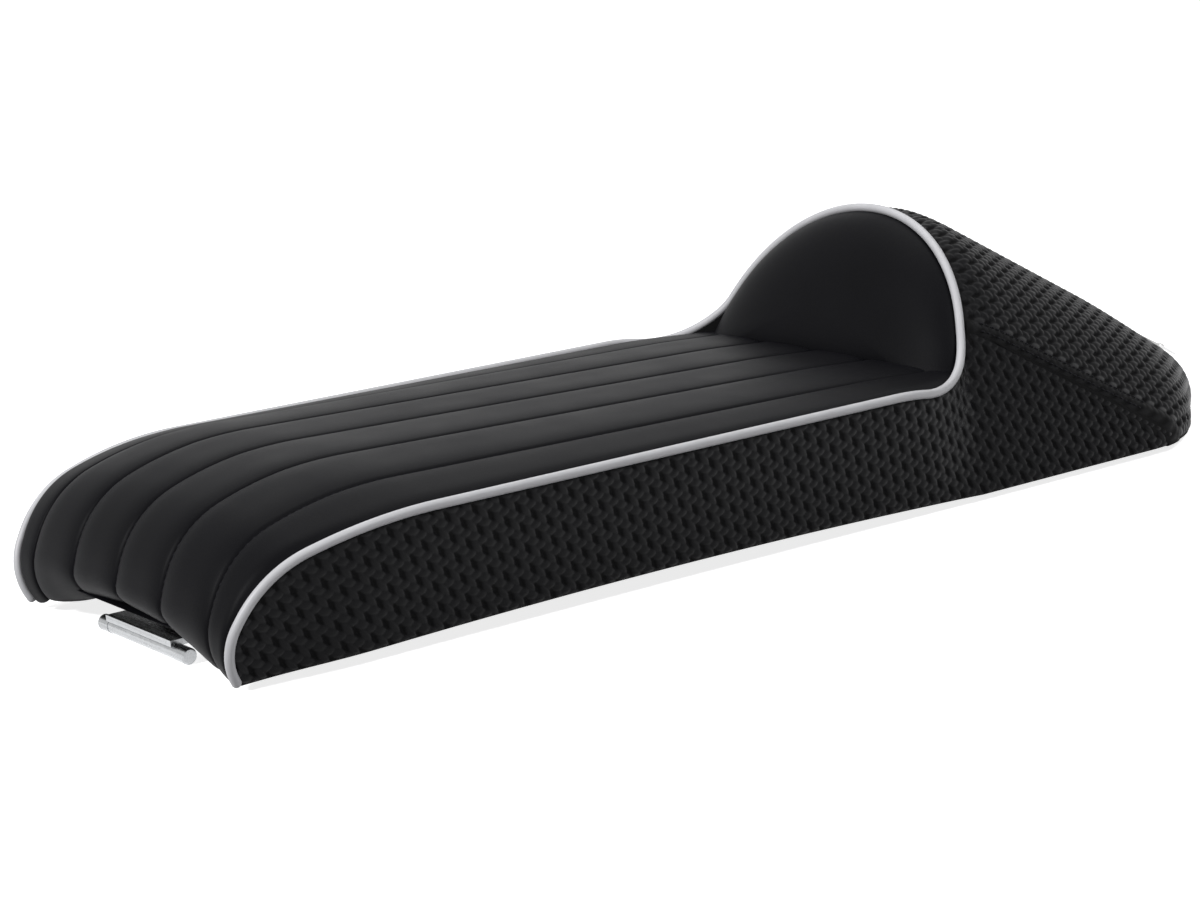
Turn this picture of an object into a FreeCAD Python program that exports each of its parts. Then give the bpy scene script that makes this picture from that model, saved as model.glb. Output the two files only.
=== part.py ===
"""Slope-back scooter seat: a ribbed cushion with a bum stop, piped covers, steel base and hinge pin.

Frame: +X points forward, +Y to the rider's left and +Z up, with the origin at the hinge pin's centre.
Below, a station t is a distance behind the pin and a height h is measured from the covers' lower rim.
"""
import FreeCAD, Part
import math
import os

from FreeCAD import Vector

# Hinge pin, its cranked strap and the strap's bolts and nuts
PIN_R = 4.0
PIN_LENGTH = 84.0
PIN_CHAMFER = 0.8
PIN_WAIST = 0.25
PIN_GROOVE = 0.8
STRAP_WIDTH = 64.0
STRAP_THICKNESS = 3.0
STRAP_FLAT = 14.0
STRAP_CRANK = 14.0
STRAP_LENGTH = 80.0
BOLT_R = 3.0
BOLT_CLEARANCE = 0.2
BOLT_HEAD_H = 4.0
BOLT_SPARE = 1.5
BOLT_PITCH = 40.0
BOLT_SETBACK = 22.0
NUT_FLATS = 10.0
NUT_H = 5.0

# Height of the covers' lower rim over the pin's axis, and the shallow arch in that rim
RIM_RISE = 0.7
RIM_ARCH_H = 5.2
RIM_ARCH_T = 215.0
RIM_ARCH_END_T = 440.0

# Half widths of the seat: at the front rim, along the rim and at the piping
FRONT_HALF = 101.0
RIM_HALF = 107.0
TOP_HALF = 121.0
FRONT_TAPER = 70.0
TAPER_STEPS = 4

# Piping: radius, and the side-view corners that its bends round off
PIPING_R = 2.5
PIPING_SIDES = 12
PIPING_H = 66.0
NOSE_T = -9.0
CHIN_T = -14.5
CHIN_H = 20.0
BROW_T = 5.0
BROW_H = 48.5
RUN_T = 46.0
TURN_T = 380.0
FOOT_T = 426.0
FOOT_H = 62.0
FOOT_HALF = 115.0

# Straight steps in each bend, and the reach from each corner to its bend's ends
BEND_STEPS = 5
CHIN_REACH = 9.5
BROW_REACH = 15.5
RUN_REACH = 20.0
TURN_REACH = 20.0
FOOT_REACH = 16.5
SHOULDER_REACH = 16.5
APEX_REACH = 56.0

# Bum stop: an arch in a leaning plane, with a puffed face
STOP_T = 400.2
STOP_LEAN = math.radians(24.4)
SHOULDER_H = 92.0
SHOULDER_HALF = 101.5
APEX_H = 159.0
STOP_BASE_H = 66.0
STOP_BASE_HALF = 106.0
STOP_BASE_REACH = 12.2
STOP_PUFF = 13.0
STOP_ROUND = 8.5
STOP_ROUND_STEPS = 3

# Stations between which the sides turn in to meet the bum stop, and their lean beside the hump
TURN_IN_T = 395.0
TURNED_T = 442.0
TURN_STEPS = 5
HUMP_LEAN_IN = 8.0

# Slope-back tail: fall per unit of run, swell behind the piping, side seam and outline of the toe
TAIL_FALL = 0.552
TAIL_SWELL = 4.0
TAIL_SWELL_RUN = 24.0
SWELL_SHARES = (0.0, 0.12, 0.3, 0.6, 1.0)
SEAM_H = 88.0
TOE_CORNER_T = 612.0
TOE_TIP_T = 748.0
TOE_CORNER_REACH = 26.0
TOE_TIP_REACH = 60.0

# Top panel: crown at the nose and at the bum stop, padded channels and raised front lip
LIP_CROWN = 0.8
NOSE_CROWN = 9.5
REAR_CROWN = 3.5
SEAM_PITCH = 43.25
INNER_CHANNELS = 4
CHANNEL_PAD = 3.6
CHANNEL_STEPS = 4
UNDERSIDE_STEPS = 6
LIP_RISE = 13.0

# Sheet thickness of the covers, and clearances
COVER = 1.8
FOAM_GAP = 0.3
SEWN_GAP = 0.15
FLAT_LIMIT = 0.0001
REACH_OUT = 60.0

# Steel base
PAN_H = 14.0
PAN_THICKNESS = 1.5
PAN_EDGE_H = 7.5
PAN_FRONT_T = 4.0
PAN_FRONT_REACH = 16.0
PAN_SHOULDER_T = 60.0
PAN_SHOULDER_REACH = 12.0
PAN_CORNER_T = 560.0
PAN_CORNER_REACH = 24.0
PAN_TIP_T = 696.0
PAN_TIP_REACH = 50.0
PAN_CLEARANCE = 0.4

# Square rubber buffers
BUFFER_BLOCK = 26.0
BUFFER_BEVEL = 4.0
BUFFER_STEM = 8.0
BUFFER_HEAD = 12.0
BUFFER_HEAD_H = 4.0
BUFFER_HEAD_BEVEL = 1.5
BUFFER_HALF = 62.0
BUFFER_FRONT_T = 190.0
BUFFER_REAR_T = 560.0

# Bare badge plate on the tail, and its two rivets
BADGE_DEPTH = 16.0
BADGE_THICKNESS = 1.0
BADGE_T = 676.0
BADGE_SHANK_R = 1.2
BADGE_RIVET_GRIP = 2.6
BADGE_RIVET_R = 2.75
BADGE_RIVET_H = 1.6
BADGE_RIVET_INSET = 7.0
DOME_SHARES = ((1.0, 0.0), (0.8, 0.6), (0.4, 1.0))
STUD_SIDES = 10


def at(t, y, h):
    """Point at a station, side distance and height."""
    return Vector(-t, y, RIM_RISE + h)


def soft_step(x):
    """Soft step from 0 at x = 0 to 1 at x = 1."""
    x = min(max(x, 0.0), 1.0)
    return x * x * (3.0 - 2.0 * x)


def side_half(t, h):
    """Half width of the covers: the sides flare outward along the seat and lean in at the hump."""
    rim = FRONT_HALF + (RIM_HALF - FRONT_HALF) * soft_step((t - NOSE_T) / FRONT_TAPER)
    seat_flare = (TOP_HALF - RIM_HALF) / PIPING_H
    hump_flare = -HUMP_LEAN_IN / SHOULDER_H
    turn = soft_step((t - TURN_IN_T) / (TURNED_T - TURN_IN_T))
    return rim + h * (seat_flare + (hump_flare - seat_flare) * turn)


def stop_t(h):
    """Station of the bum stop's leaning plane at a height."""
    return STOP_T + h * math.tan(STOP_LEAN)


def rounded_path(corners, reaches):
    """Straight runs joined by tangent arcs that start and end a reach away from each corner."""
    edges = []
    start = corners[0]
    for before, corner, after, reach in zip(corners, corners[1:], corners[2:], reaches):
        arriving = corner - before
        leaving = after - corner
        half_turn = arriving.getAngle(leaving) / 2.0
        arriving.normalize()
        leaving.normalize()
        inward = (leaving - arriving).normalize()
        depth = reach * (1.0 / math.sin(half_turn) - 1.0 / math.tan(half_turn))
        first = corner - arriving * reach
        last = corner + leaving * reach
        edges.append(Part.LineSegment(start, first).toShape())
        edges.append(Part.Arc(first, corner + inward * depth, last).toShape())
        start = last
    edges.append(Part.LineSegment(start, corners[-1]).toShape())
    return edges


def grown_path(corners, reaches, grow, place):
    """Parallel copy of a flat rounded path, moved to the right of its travel, put in space by place."""
    flat = [Vector(a, b, 0.0) for a, b in corners]
    ways = [(q - p).normalize() for p, q in zip(flat, flat[1:])]
    sides = [Vector(way.y, -way.x, 0.0) for way in ways]
    moved = [flat[0] + sides[0] * grow]
    new_reaches = []
    for corner, before, after, reach in zip(flat[1:], sides, sides[1:], reaches):
        moved.append(corner + (before + after) * (grow / (1.0 + before.dot(after))))
        turn = before.cross(after).z
        new_reaches.append(reach - math.copysign(grow, turn) * math.tan(before.getAngle(after) / 2.0))
    moved.append(flat[-1] + sides[-1] * grow)
    return rounded_path([place(p.x, p.y) for p in moved], new_reaches)


def polygon_wire(points):
    """Closed wire through points."""
    return Part.makePolygon(points + points[:1])


def biggest(shape):
    """Largest solid of a shape."""
    return max(shape.Solids, key=lambda solid: solid.Volume)


def upright(sides, radius, base, height):
    """Upright prism with a number of sides, on a base point; its flats lie at the radius."""
    tip = radius / math.cos(math.pi / sides)
    turns = [2.0 * math.pi * (i + 0.5) / sides for i in range(sides)]
    corners = [base + Vector(tip * math.cos(turn), tip * math.sin(turn), 0.0) for turn in turns]
    return Part.Face(polygon_wire(corners)).extrude(Vector(0.0, 0.0, height))


def drilled(radius, place):
    """Upright round tool through the base at a plan place."""
    return Part.makeCylinder(radius, 2.0 * PAN_TOP, Vector(place[0], place[1], 0.0), Vector(0.0, 0.0, 1.0))


def path_places(edges):
    """Points and directions along a path: at the ends of its runs and in even steps around its bends."""
    places = []
    for edge in edges:
        steps = BEND_STEPS if edge.Curve.TypeId == "Part::GeomCircle" else 1
        for i in range(steps):
            u = edge.FirstParameter + (edge.LastParameter - edge.FirstParameter) * i / steps
            places.append((edge.valueAt(u), edge.tangentAt(u)))
    last = edges[-1]
    places.append((last.valueAt(last.LastParameter), last.tangentAt(last.LastParameter)))
    return places


def stepped_points(edges):
    """Points along a path, with its bends in straight steps; a closed path's end isn't repeated."""
    points = [point for point, way in path_places(edges)]
    if points[0].distanceToPoint(points[-1]) < SEWN_GAP:
        points.pop()
    return points


def skinned(rings):
    """Solid with flat facets between rings of points that lie one behind the other, and flat ends."""
    faces = [Part.Face(polygon_wire(rings[0])), Part.Face(polygon_wire(rings[-1]))]
    for low, high in zip(rings, rings[1:]):
        for i in range(len(low)):
            a, b, c, d = low[i - 1], low[i], high[i], high[i - 1]
            flat = (b - a).cross(d - a).normalize()
            if abs((c - a).dot(flat)) < FLAT_LIMIT:
                faces.append(Part.Face(polygon_wire([a, b, c, d])))
            else:
                faces.append(Part.Face(polygon_wire([a, b, c])))
                faces.append(Part.Face(polygon_wire([a, c, d])))
    sewn = Part.makeCompound(faces)
    sewn.sewShape()
    solid = Part.Solid(sewn.Shells[0])
    if solid.Volume < 0.0:
        solid.reverse()
    return solid


# Side view of the piping's front part, and the whole piping line in space
NOSE_CORNERS = [(NOSE_T, 0.0), (CHIN_T, CHIN_H), (BROW_T, BROW_H), (RUN_T, PIPING_H)]
NOSE_REACHES = [CHIN_REACH, BROW_REACH, RUN_REACH]
LEFT_CORNERS = [at(t, side_half(t, h), h) for t, h in NOSE_CORNERS]
LEFT_CORNERS.append(at(TURN_T, TOP_HALF, PIPING_H))
LEFT_CORNERS.append(at(FOOT_T, FOOT_HALF, FOOT_H))
LEFT_CORNERS.append(at(stop_t(SHOULDER_H), SHOULDER_HALF, SHOULDER_H))
LEFT_REACHES = NOSE_REACHES + [TURN_REACH, FOOT_REACH, SHOULDER_REACH]
RIGHT_CORNERS = [Vector(c.x, -c.y, c.z) for c in reversed(LEFT_CORNERS)]
RIGHT_REACHES = list(reversed(LEFT_REACHES))
EDGE_INSET = PIPING_R + SEWN_GAP
PAN_TOP = RIM_RISE + PAN_H + PAN_THICKNESS
FAR_T = TOE_TIP_T + REACH_OUT


def piping(radius):
    """One continuous welt from the front left corner over the bum stop to the front right corner."""
    apex = at(stop_t(APEX_H), 0.0, APEX_H)
    edges = rounded_path(LEFT_CORNERS + [apex] + RIGHT_CORNERS, LEFT_REACHES + [APEX_REACH] + RIGHT_REACHES)
    rings = []
    across = Vector(0.0, 1.0, 0.0)
    for point, way in path_places(edges):
        across = (across - way * across.dot(way)).normalize()
        spin = FreeCAD.Rotation(across, way.cross(across), way, "ZXY")
        corners = []
        for i in range(PIPING_SIDES):
            angle = 2.0 * math.pi * i / PIPING_SIDES
            around = spin.multVec(Vector(math.cos(angle), math.sin(angle), 0.0))
            corners.append(point + around * radius)
        rings.append(polygon_wire(corners))
    return Part.makeLoft(rings, True, True)


def side_stations():
    """Stations at which the sides change direction."""
    taper = [NOSE_T + FRONT_TAPER * i / TAPER_STEPS for i in range(TAPER_STEPS + 1)]
    step = (TURNED_T - TURN_IN_T) / TURN_STEPS
    turn = [TURN_IN_T + step * i for i in range(TURN_STEPS + 1)]
    return [NOSE_T - REACH_OUT] + taper + turn + [FAR_T]


def between_sides(inset, low, high):
    """Solid between the two side surfaces, each moved inward by an inset."""
    sections = []
    for t in side_stations():
        lower = side_half(t, low) - inset
        upper = side_half(t, high) - inset
        corners = [at(t, lower, low), at(t, upper, high), at(t, -upper, high), at(t, -lower, low)]
        sections.append(polygon_wire(corners))
    return Part.makeLoft(sections, True, True)


def side_sheet():
    """Left side surface with the covers' thickness."""
    sections = []
    for t in side_stations():
        low = -REACH_OUT
        high = APEX_H
        corners = [
            at(t, side_half(t, low), low),
            at(t, side_half(t, high), high),
            at(t, side_half(t, high) - COVER, high),
            at(t, side_half(t, low) - COVER, low),
        ]
        sections.append(polygon_wire(corners))
    return Part.makeLoft(sections, True, True)


def seam_t(h):
    """Station of the tail's side seam at a height."""
    return stop_t(SEAM_H) + EDGE_INSET + (SEAM_H - h) / TAIL_FALL


def side_cover():
    """Left side panel: under the piping, behind its climb and below the tail's side seam."""
    corners = NOSE_CORNERS + [(TURN_T, PIPING_H), (FOOT_T, FOOT_H), (stop_t(SHOULDER_H), SHOULDER_H)]
    upper = grown_path(corners, LEFT_REACHES[:-1], EDGE_INSET, lambda t, h: at(t, 0.0, h))
    first = upper[0].valueAt(upper[0].FirstParameter)
    peak = at(seam_t(SEAM_H), 0.0, SEAM_H - SEWN_GAP)
    heel = at(seam_t(SEWN_GAP), 0.0, 0.0)
    arch_end = at(RIM_ARCH_END_T, 0.0, 0.0)
    arch_top = at(RIM_ARCH_T, 0.0, RIM_ARCH_H)
    loop = upper[:-1]
    foot_end = upper[-1].valueAt(upper[-1].FirstParameter)
    loop.append(Part.LineSegment(foot_end, peak).toShape())
    loop.append(Part.LineSegment(peak, heel).toShape())
    loop.append(Part.LineSegment(heel, arch_end).toShape())
    loop.append(Part.Arc(arch_end, arch_top, first).toShape())
    outline = Part.Face(Part.Wire(loop)).extrude(Vector(0.0, 2.0 * TOP_HALF, 0.0))
    return biggest(side_sheet().common(outline))


def panel_section(crown, padding, depth, thickness, place):
    """Cross-section of the top panel: a crown with one swell per padded channel, and a smooth underside."""
    inner = INNER_CHANNELS / 2 * SEAM_PITCH
    seams = [-TOP_HALF] + [-inner + SEAM_PITCH * k for k in range(INNER_CHANNELS + 1)] + [TOP_HALF]

    def rise(y):
        return crown * (1.0 - (y / TOP_HALF) ** 2) - depth

    points = []
    for left, right in zip(seams, seams[1:]):
        for i in range(CHANNEL_STEPS):
            share = i / CHANNEL_STEPS
            y = left + (right - left) * share
            points.append(place(y, rise(y) + padding * 4.0 * share * (1.0 - share)))
    points.append(place(TOP_HALF, rise(TOP_HALF)))
    for i in range(UNDERSIDE_STEPS + 1):
        y = TOP_HALF * (1.0 - 2.0 * i / UNDERSIDE_STEPS)
        points.append(place(y, rise(y) - thickness))
    return polygon_wire(points)


def crown_at(t, h):
    """Rise of the seams over the piping: least at the front lip and most at the brow."""
    if h < BROW_H:
        return LIP_CROWN + (NOSE_CROWN - LIP_CROWN) * soft_step(h / BROW_H)
    return NOSE_CROWN + (REAR_CROWN - NOSE_CROWN) * (t - BROW_T) / (FOOT_T - BROW_T)


def seat_top(padding, depth, thickness):
    """The top panel's section carried over the nose and back to the bum stop, untrimmed."""
    corners = [at(t, 0.0, h) for t, h in NOSE_CORNERS]
    way = (corners[0] - corners[1]).normalize()
    corners[0] = corners[0] + way * LIP_RISE
    corners += [at(TURN_T, 0.0, PIPING_H), at(FOOT_T + FOOT_REACH, 0.0, FOOT_H)]
    sections = []
    for point, way in path_places(rounded_path(corners, NOSE_REACHES + [TURN_REACH])):
        outward = Vector(way.z, 0.0, -way.x)
        crown = crown_at(-point.x, point.z - RIM_RISE)

        def place(y, n):
            return point + Vector(0.0, y, 0.0) + outward * n

        sections.append(panel_section(crown, padding, depth, thickness, place))
    return Part.makeLoft(sections, True, True)


def side_view_block(outline):
    """Block right across the seat with a side-view outline of stations and heights."""
    corners = [at(t, -2.0 * TOP_HALF, h) for t, h in outline]
    return Part.Face(polygon_wire(corners)).extrude(Vector(0.0, 4.0 * TOP_HALF, 0.0))


def before_stop(gap):
    """Block in front of the bum stop's leaning plane, less a gap."""
    low = -REACH_OUT
    front = NOSE_T - REACH_OUT
    plane = [(stop_t(low) - gap, low), (stop_t(APEX_H) - gap, APEX_H)]
    return side_view_block(plane + [(front, APEX_H), (front, low)])


def lip_block():
    """Block under the arched front lip."""
    low = -REACH_OUT
    front = NOSE_T - REACH_OUT
    ends = [at(front, -FRONT_HALF, 0.0), at(front, FRONT_HALF, 0.0)]
    arch = Part.Arc(ends[0], at(front, 0.0, LIP_RISE), ends[1]).toShape()
    legs = [at(front, FRONT_HALF, low), at(front, -FRONT_HALF, low)]
    sides = [
        Part.LineSegment(ends[1], legs[0]).toShape(),
        Part.LineSegment(legs[0], legs[1]).toShape(),
        Part.LineSegment(legs[1], ends[0]).toShape(),
    ]
    return Part.Face(Part.Wire([arch] + sides)).extrude(Vector(-2.0 * REACH_OUT, 0.0, 0.0))


def top_cover():
    """Ribbed top panel from the front lip to the crease."""
    panel = seat_top(CHANNEL_PAD, 0.0, COVER)
    panel = panel.common(between_sides(EDGE_INSET, -REACH_OUT, APEX_H))
    panel = panel.common(before_stop(SEWN_GAP))
    return biggest(panel.cut([lip_block(), stop_block(-SEWN_GAP, 0.0, STOP_PUFF), piping(EDGE_INSET)]))


def pockets():
    """Room in the foam over the nuts and buffer heads that stand on the base."""
    tools = []
    for x, y in bolt_places():
        room = NUT_H + BOLT_SPARE + FOAM_GAP
        tools.append(upright(6, NUT_FLATS / 2.0 + FOAM_GAP, Vector(x, y, PAN_TOP), room))
    for x, y in buffer_places():
        room = BUFFER_HEAD_H + FOAM_GAP
        tools.append(upright(4, BUFFER_HEAD / 2.0 + FOAM_GAP, Vector(x, y, PAN_TOP), room))
    return tools


def seat_foam():
    """Cushion between the base and the top panel, in front of the bum stop's plane."""
    low = PAN_H + PAN_THICKNESS
    high = PIPING_H + NOSE_CROWN
    front = NOSE_T - REACH_OUT
    rear = FOOT_T + FOOT_REACH
    block = side_view_block([(front, low), (front, high), (rear, high), (rear, low)])
    block = block.common(between_sides(COVER + FOAM_GAP, -REACH_OUT, APEX_H))
    block = block.common(before_stop(FOAM_GAP))
    above = seat_top(0.0, COVER + FOAM_GAP - REACH_OUT, REACH_OUT)
    return biggest(biggest(block.cut([above, piping(EDGE_INSET)])).cut(pockets()))


def arch_corners(low_h):
    """Corners of the bum stop's arch in its own plane, on legs that go down to a height."""
    lean = math.cos(STOP_LEAN)
    shoulder = (SHOULDER_HALF, SHOULDER_H / lean)
    apex = (0.0, APEX_H / lean)
    leg = (SHOULDER_HALF, low_h / lean)
    return [leg, shoulder, apex, (-shoulder[0], shoulder[1]), (-leg[0], leg[1])]


def on_slope(y, q, shift):
    """Point of the arch's plane, carried a distance down the slope and spread toward the rim's width."""
    h = q * math.cos(STOP_LEAN)
    spread = 1.0 + (RIM_HALF / SHOULDER_HALF - 1.0) * shift * TAIL_FALL / SEAM_H
    return at(stop_t(h) + shift, y * spread, h - TAIL_FALL * shift)


def tail_ring(start, sink, shift):
    """The arch's outline a distance down the slope, swelling behind its start and sunk below the outside."""
    share = min((shift - start) / TAIL_SWELL_RUN, 1.0)
    grow = TAIL_SWELL * (1.0 - (1.0 - share) ** 2) - sink
    reaches = [SHOULDER_REACH, APEX_REACH, SHOULDER_REACH]
    edges = grown_path(arch_corners(-REACH_OUT), reaches, grow, lambda y, q: on_slope(y, q, shift))
    return stepped_points(edges)


def tail_solid(start, sink):
    """The arch carried down the slope to beyond the toe."""
    shifts = [start + TAIL_SWELL_RUN * share for share in SWELL_SHARES] + [FAR_T - STOP_T]
    return Part.makeLoft([polygon_wire(tail_ring(start, sink, shift)) for shift in shifts], True, True)


def toe_block(inset, low_h):
    """Upright block inside the covers' plan outline at the tail."""
    side = (STOP_T - REACH_OUT, RIM_HALF)
    corner = (TOE_CORNER_T, RIM_HALF)
    corners = [side, corner, (TOE_TIP_T, 0.0), (corner[0], -corner[1]), (side[0], -side[1])]
    reaches = [TOE_CORNER_REACH, TOE_TIP_REACH, TOE_CORNER_REACH]
    edges = grown_path(corners, reaches, inset, lambda t, y: at(t, y, low_h))
    return Part.Face(polygon_wire(stepped_points(edges))).extrude(Vector(0.0, 0.0, 2.0 * APEX_H))


def above_seam():
    """Block above the plane that holds both side seams of the tail."""
    high = APEX_H + REACH_OUT
    low = -REACH_OUT
    return side_view_block([(seam_t(high), high), (seam_t(low), low), (FAR_T, low), (FAR_T, high)])


def tail_cover():
    """Slope-back panel from the piping down to the rim, open below."""
    outer = tail_solid(EDGE_INSET, 0.0).common(toe_block(0.0, 0.0))
    inner = tail_solid(0.0, COVER).common(toe_block(COVER, -REACH_OUT))
    shell = outer.cut(inner).common(above_seam())
    return biggest(biggest(shell).cut([badge_hole(side) for side in (1, -1)]))


def hump_foam():
    """Block of foam under the slope-back panel, from the bum stop's plane to the toe."""
    block = tail_solid(FOAM_GAP, EDGE_INSET).common(toe_block(COVER + FOAM_GAP, PAN_H + PAN_THICKNESS))
    block = block.common(between_sides(COVER + FOAM_GAP, -REACH_OUT, APEX_H + REACH_OUT))
    return biggest(biggest(block).cut(pockets()))


def stop_block(shrink, back, front):
    """The bum stop's outline between two depths in front of its plane, with a rounded front edge."""
    lean = math.cos(STOP_LEAN)
    base = (STOP_BASE_HALF, STOP_BASE_H / lean)
    arch = arch_corners(STOP_BASE_H)[1:-1]
    corners = [(0.0, base[1]), base] + arch + [(-base[0], base[1]), (0.0, base[1])]
    reaches = [STOP_BASE_REACH, SHOULDER_REACH, APEX_REACH, SHOULDER_REACH, STOP_BASE_REACH]
    ahead = Vector(lean, 0.0, math.sin(STOP_LEAN))
    radius = STOP_ROUND - shrink
    depths = [(back, 0.0)]
    for i in range(STOP_ROUND_STEPS + 1):
        turn = math.pi / 2.0 * i / STOP_ROUND_STEPS
        depths.append((front - radius * (1.0 - math.sin(turn)), radius * (1.0 - math.cos(turn))))
    rings = []
    for depth, inset in depths:
        grow = -EDGE_INSET - shrink - inset
        edges = grown_path(corners, reaches, grow, lambda y, q: on_slope(y, q, 0.0) + ahead * depth)
        rings.append(stepped_points(edges))
    return skinned(rings)


def backstop_cover():
    """Puffed cover of the bum stop, open at the back."""
    return biggest(stop_block(0.0, 0.0, STOP_PUFF).cut(stop_block(COVER, -COVER, STOP_PUFF - COVER)))


def stop_pad():
    """Foam pad under the bum stop's cover."""
    sink = COVER + FOAM_GAP
    return stop_block(sink, 0.0, STOP_PUFF - sink)


def pan_outline(inset, h):
    """Face of the base's plan outline."""
    side = side_half(PAN_CORNER_T, PAN_H + PAN_THICKNESS) - COVER - PAN_CLEARANCE
    front = FRONT_HALF - COVER - PAN_CLEARANCE
    left = [(PAN_FRONT_T, front), (PAN_SHOULDER_T, side), (PAN_CORNER_T, side)]
    right = [(t, -y) for t, y in reversed(left)]
    start = (PAN_FRONT_T, 0.0)
    corners = [start] + left + [(PAN_TIP_T, 0.0)] + right + [start]
    side_reaches = [PAN_FRONT_REACH, PAN_SHOULDER_REACH, PAN_CORNER_REACH]
    reaches = side_reaches + [PAN_TIP_REACH] + list(reversed(side_reaches))
    edges = grown_path(corners, reaches, inset, lambda t, y: at(t, y, h))
    return Part.Face(polygon_wire(stepped_points(edges)))


def bolt_places():
    """Plan places of the strap's two bolts."""
    return [(BOLT_SETBACK - STRAP_LENGTH, side * BOLT_PITCH) for side in (0.5, -0.5)]


def buffer_places():
    """Plan places of the rubber buffers, the front pair first and left before right."""
    return [(-t, y) for t in (BUFFER_FRONT_T, BUFFER_REAR_T) for y in (BUFFER_HALF, -BUFFER_HALF)]


def seat_pan():
    """Pressed steel base with a turned-down edge and holes for the bolts and buffers."""
    up = Vector(0.0, 0.0, 1.0)
    pan = pan_outline(0.0, PAN_EDGE_H).extrude(up * (PAN_H + PAN_THICKNESS - PAN_EDGE_H))
    tools = [pan_outline(PAN_THICKNESS, 0.0).extrude(up * PAN_H)]
    for place in bolt_places():
        tools.append(drilled(BOLT_R + BOLT_CLEARANCE, place))
    for x, y in buffer_places():
        tools.append(upright(4, BUFFER_STEM / 2.0, Vector(x, y, 0.0), 2.0 * PAN_TOP))
    return biggest(pan.cut(tools))


def across(radius, length):
    """Round bar along the hinge axis, centred on it."""
    return Part.makeCylinder(radius, length, Vector(0.0, -length / 2.0, 0.0), Vector(0.0, 1.0, 0.0))


def hinge_pin():
    """Hinge pin across the front, chamfered at both ends and a little thinner inside the strap's groove."""
    pin = across(PIN_R, PIN_LENGTH)
    tips = [e for e in pin.Edges if e.Curve.TypeId == "Part::GeomCircle"]
    pin = pin.makeChamfer(PIN_CHAMFER, tips)
    waist = across(PIN_R + PIN_WAIST, STRAP_WIDTH).cut(across(PIN_R - PIN_WAIST, STRAP_WIDTH))
    return biggest(pin.cut(waist))


def hinge_plate():
    """Cranked strap from the pin, in which it sits by a groove, back to the base's underside."""
    low = PIN_R - PIN_GROOVE
    high = RIM_RISE + PAN_H - STRAP_THICKNESS
    lower = [(PIN_R, low), (-STRAP_FLAT, low), (-STRAP_FLAT - STRAP_CRANK, high), (-STRAP_LENGTH, high)]
    slant = math.atan2(high - low, STRAP_CRANK)
    lead = STRAP_THICKNESS * math.tan(slant / 2.0)
    upper = [(PIN_R, 0.0), (lead - STRAP_FLAT, 0.0), (lead - STRAP_FLAT - STRAP_CRANK, high - low)]
    upper = [(x, low + STRAP_THICKNESS + z) for x, z in upper] + [(-STRAP_LENGTH, high + STRAP_THICKNESS)]
    outline = [Vector(x, -STRAP_WIDTH / 2.0, z) for x, z in lower + upper[::-1]]
    strap = Part.Face(polygon_wire(outline)).extrude(Vector(0.0, STRAP_WIDTH, 0.0))
    groove = across(PIN_R - PIN_WAIST, PIN_LENGTH)
    holes = [drilled(BOLT_R + BOLT_CLEARANCE, place) for place in bolt_places()]
    return biggest(strap.cut([groove] + holes))


def hinge_bolts():
    """Two hexagon bolts up through the strap and the base."""
    under = RIM_RISE + PAN_H - STRAP_THICKNESS
    bolts = []
    for x, y in bolt_places():
        head = upright(6, NUT_FLATS / 2.0, Vector(x, y, under - BOLT_HEAD_H), BOLT_HEAD_H)
        length = PAN_TOP - under + NUT_H + BOLT_SPARE
        shank = Part.makeCylinder(BOLT_R, length, Vector(x, y, under), Vector(0.0, 0.0, 1.0))
        bolts.append(biggest(head.fuse(shank)))
    return Part.makeCompound(bolts)


def hinge_nuts():
    """Two hexagon nuts on the base's upper side."""
    nuts = []
    for x, y in bolt_places():
        nut = upright(6, NUT_FLATS / 2.0, Vector(x, y, PAN_TOP), NUT_H)
        nuts.append(biggest(nut.cut(drilled(BOLT_R, (x, y)))))
    return Part.makeCompound(nuts)


def bevelled_block(width, place, low, high, bevel, bevel_z):
    """Square upright block with a bevel round its lower or upper face."""
    half = width / 2.0
    block = Part.makeBox(width, width, high - low, Vector(place[0] - half, place[1] - half, low))
    rim = [e for e in block.Edges if all(abs(v.Z - bevel_z) < SEWN_GAP for v in e.Vertexes)]
    return block.makeChamfer(bevel, rim)


def buffer(place):
    """Rubber buffer: a bevelled block below the base, a square stem through it and a snap-in head."""
    under = RIM_RISE + PAN_H
    head_top = PAN_TOP + BUFFER_HEAD_H
    block = bevelled_block(BUFFER_BLOCK, place, -PIN_R, under, BUFFER_BEVEL, -PIN_R)
    head = bevelled_block(BUFFER_HEAD, place, PAN_TOP, head_top, BUFFER_HEAD_BEVEL, head_top)
    stem = upright(4, BUFFER_STEM / 2.0, Vector(place[0], place[1], under), PAN_THICKNESS)
    return biggest(block.multiFuse([stem, head]))


def studded(levels, centre, way):
    """Turned stud of small flats, from rings given as a radius and a height along a direction."""
    rings = []
    for radius, height in levels:
        turns = [2.0 * math.pi * i / STUD_SIDES for i in range(STUD_SIDES)]
        rings.append([Vector(radius * math.cos(turn), radius * math.sin(turn), height) for turn in turns])
    stud = skinned(rings)
    stud.Placement = FreeCAD.Placement(centre, FreeCAD.Rotation(Vector(0.0, 0.0, 1.0), way))
    return stud


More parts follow.
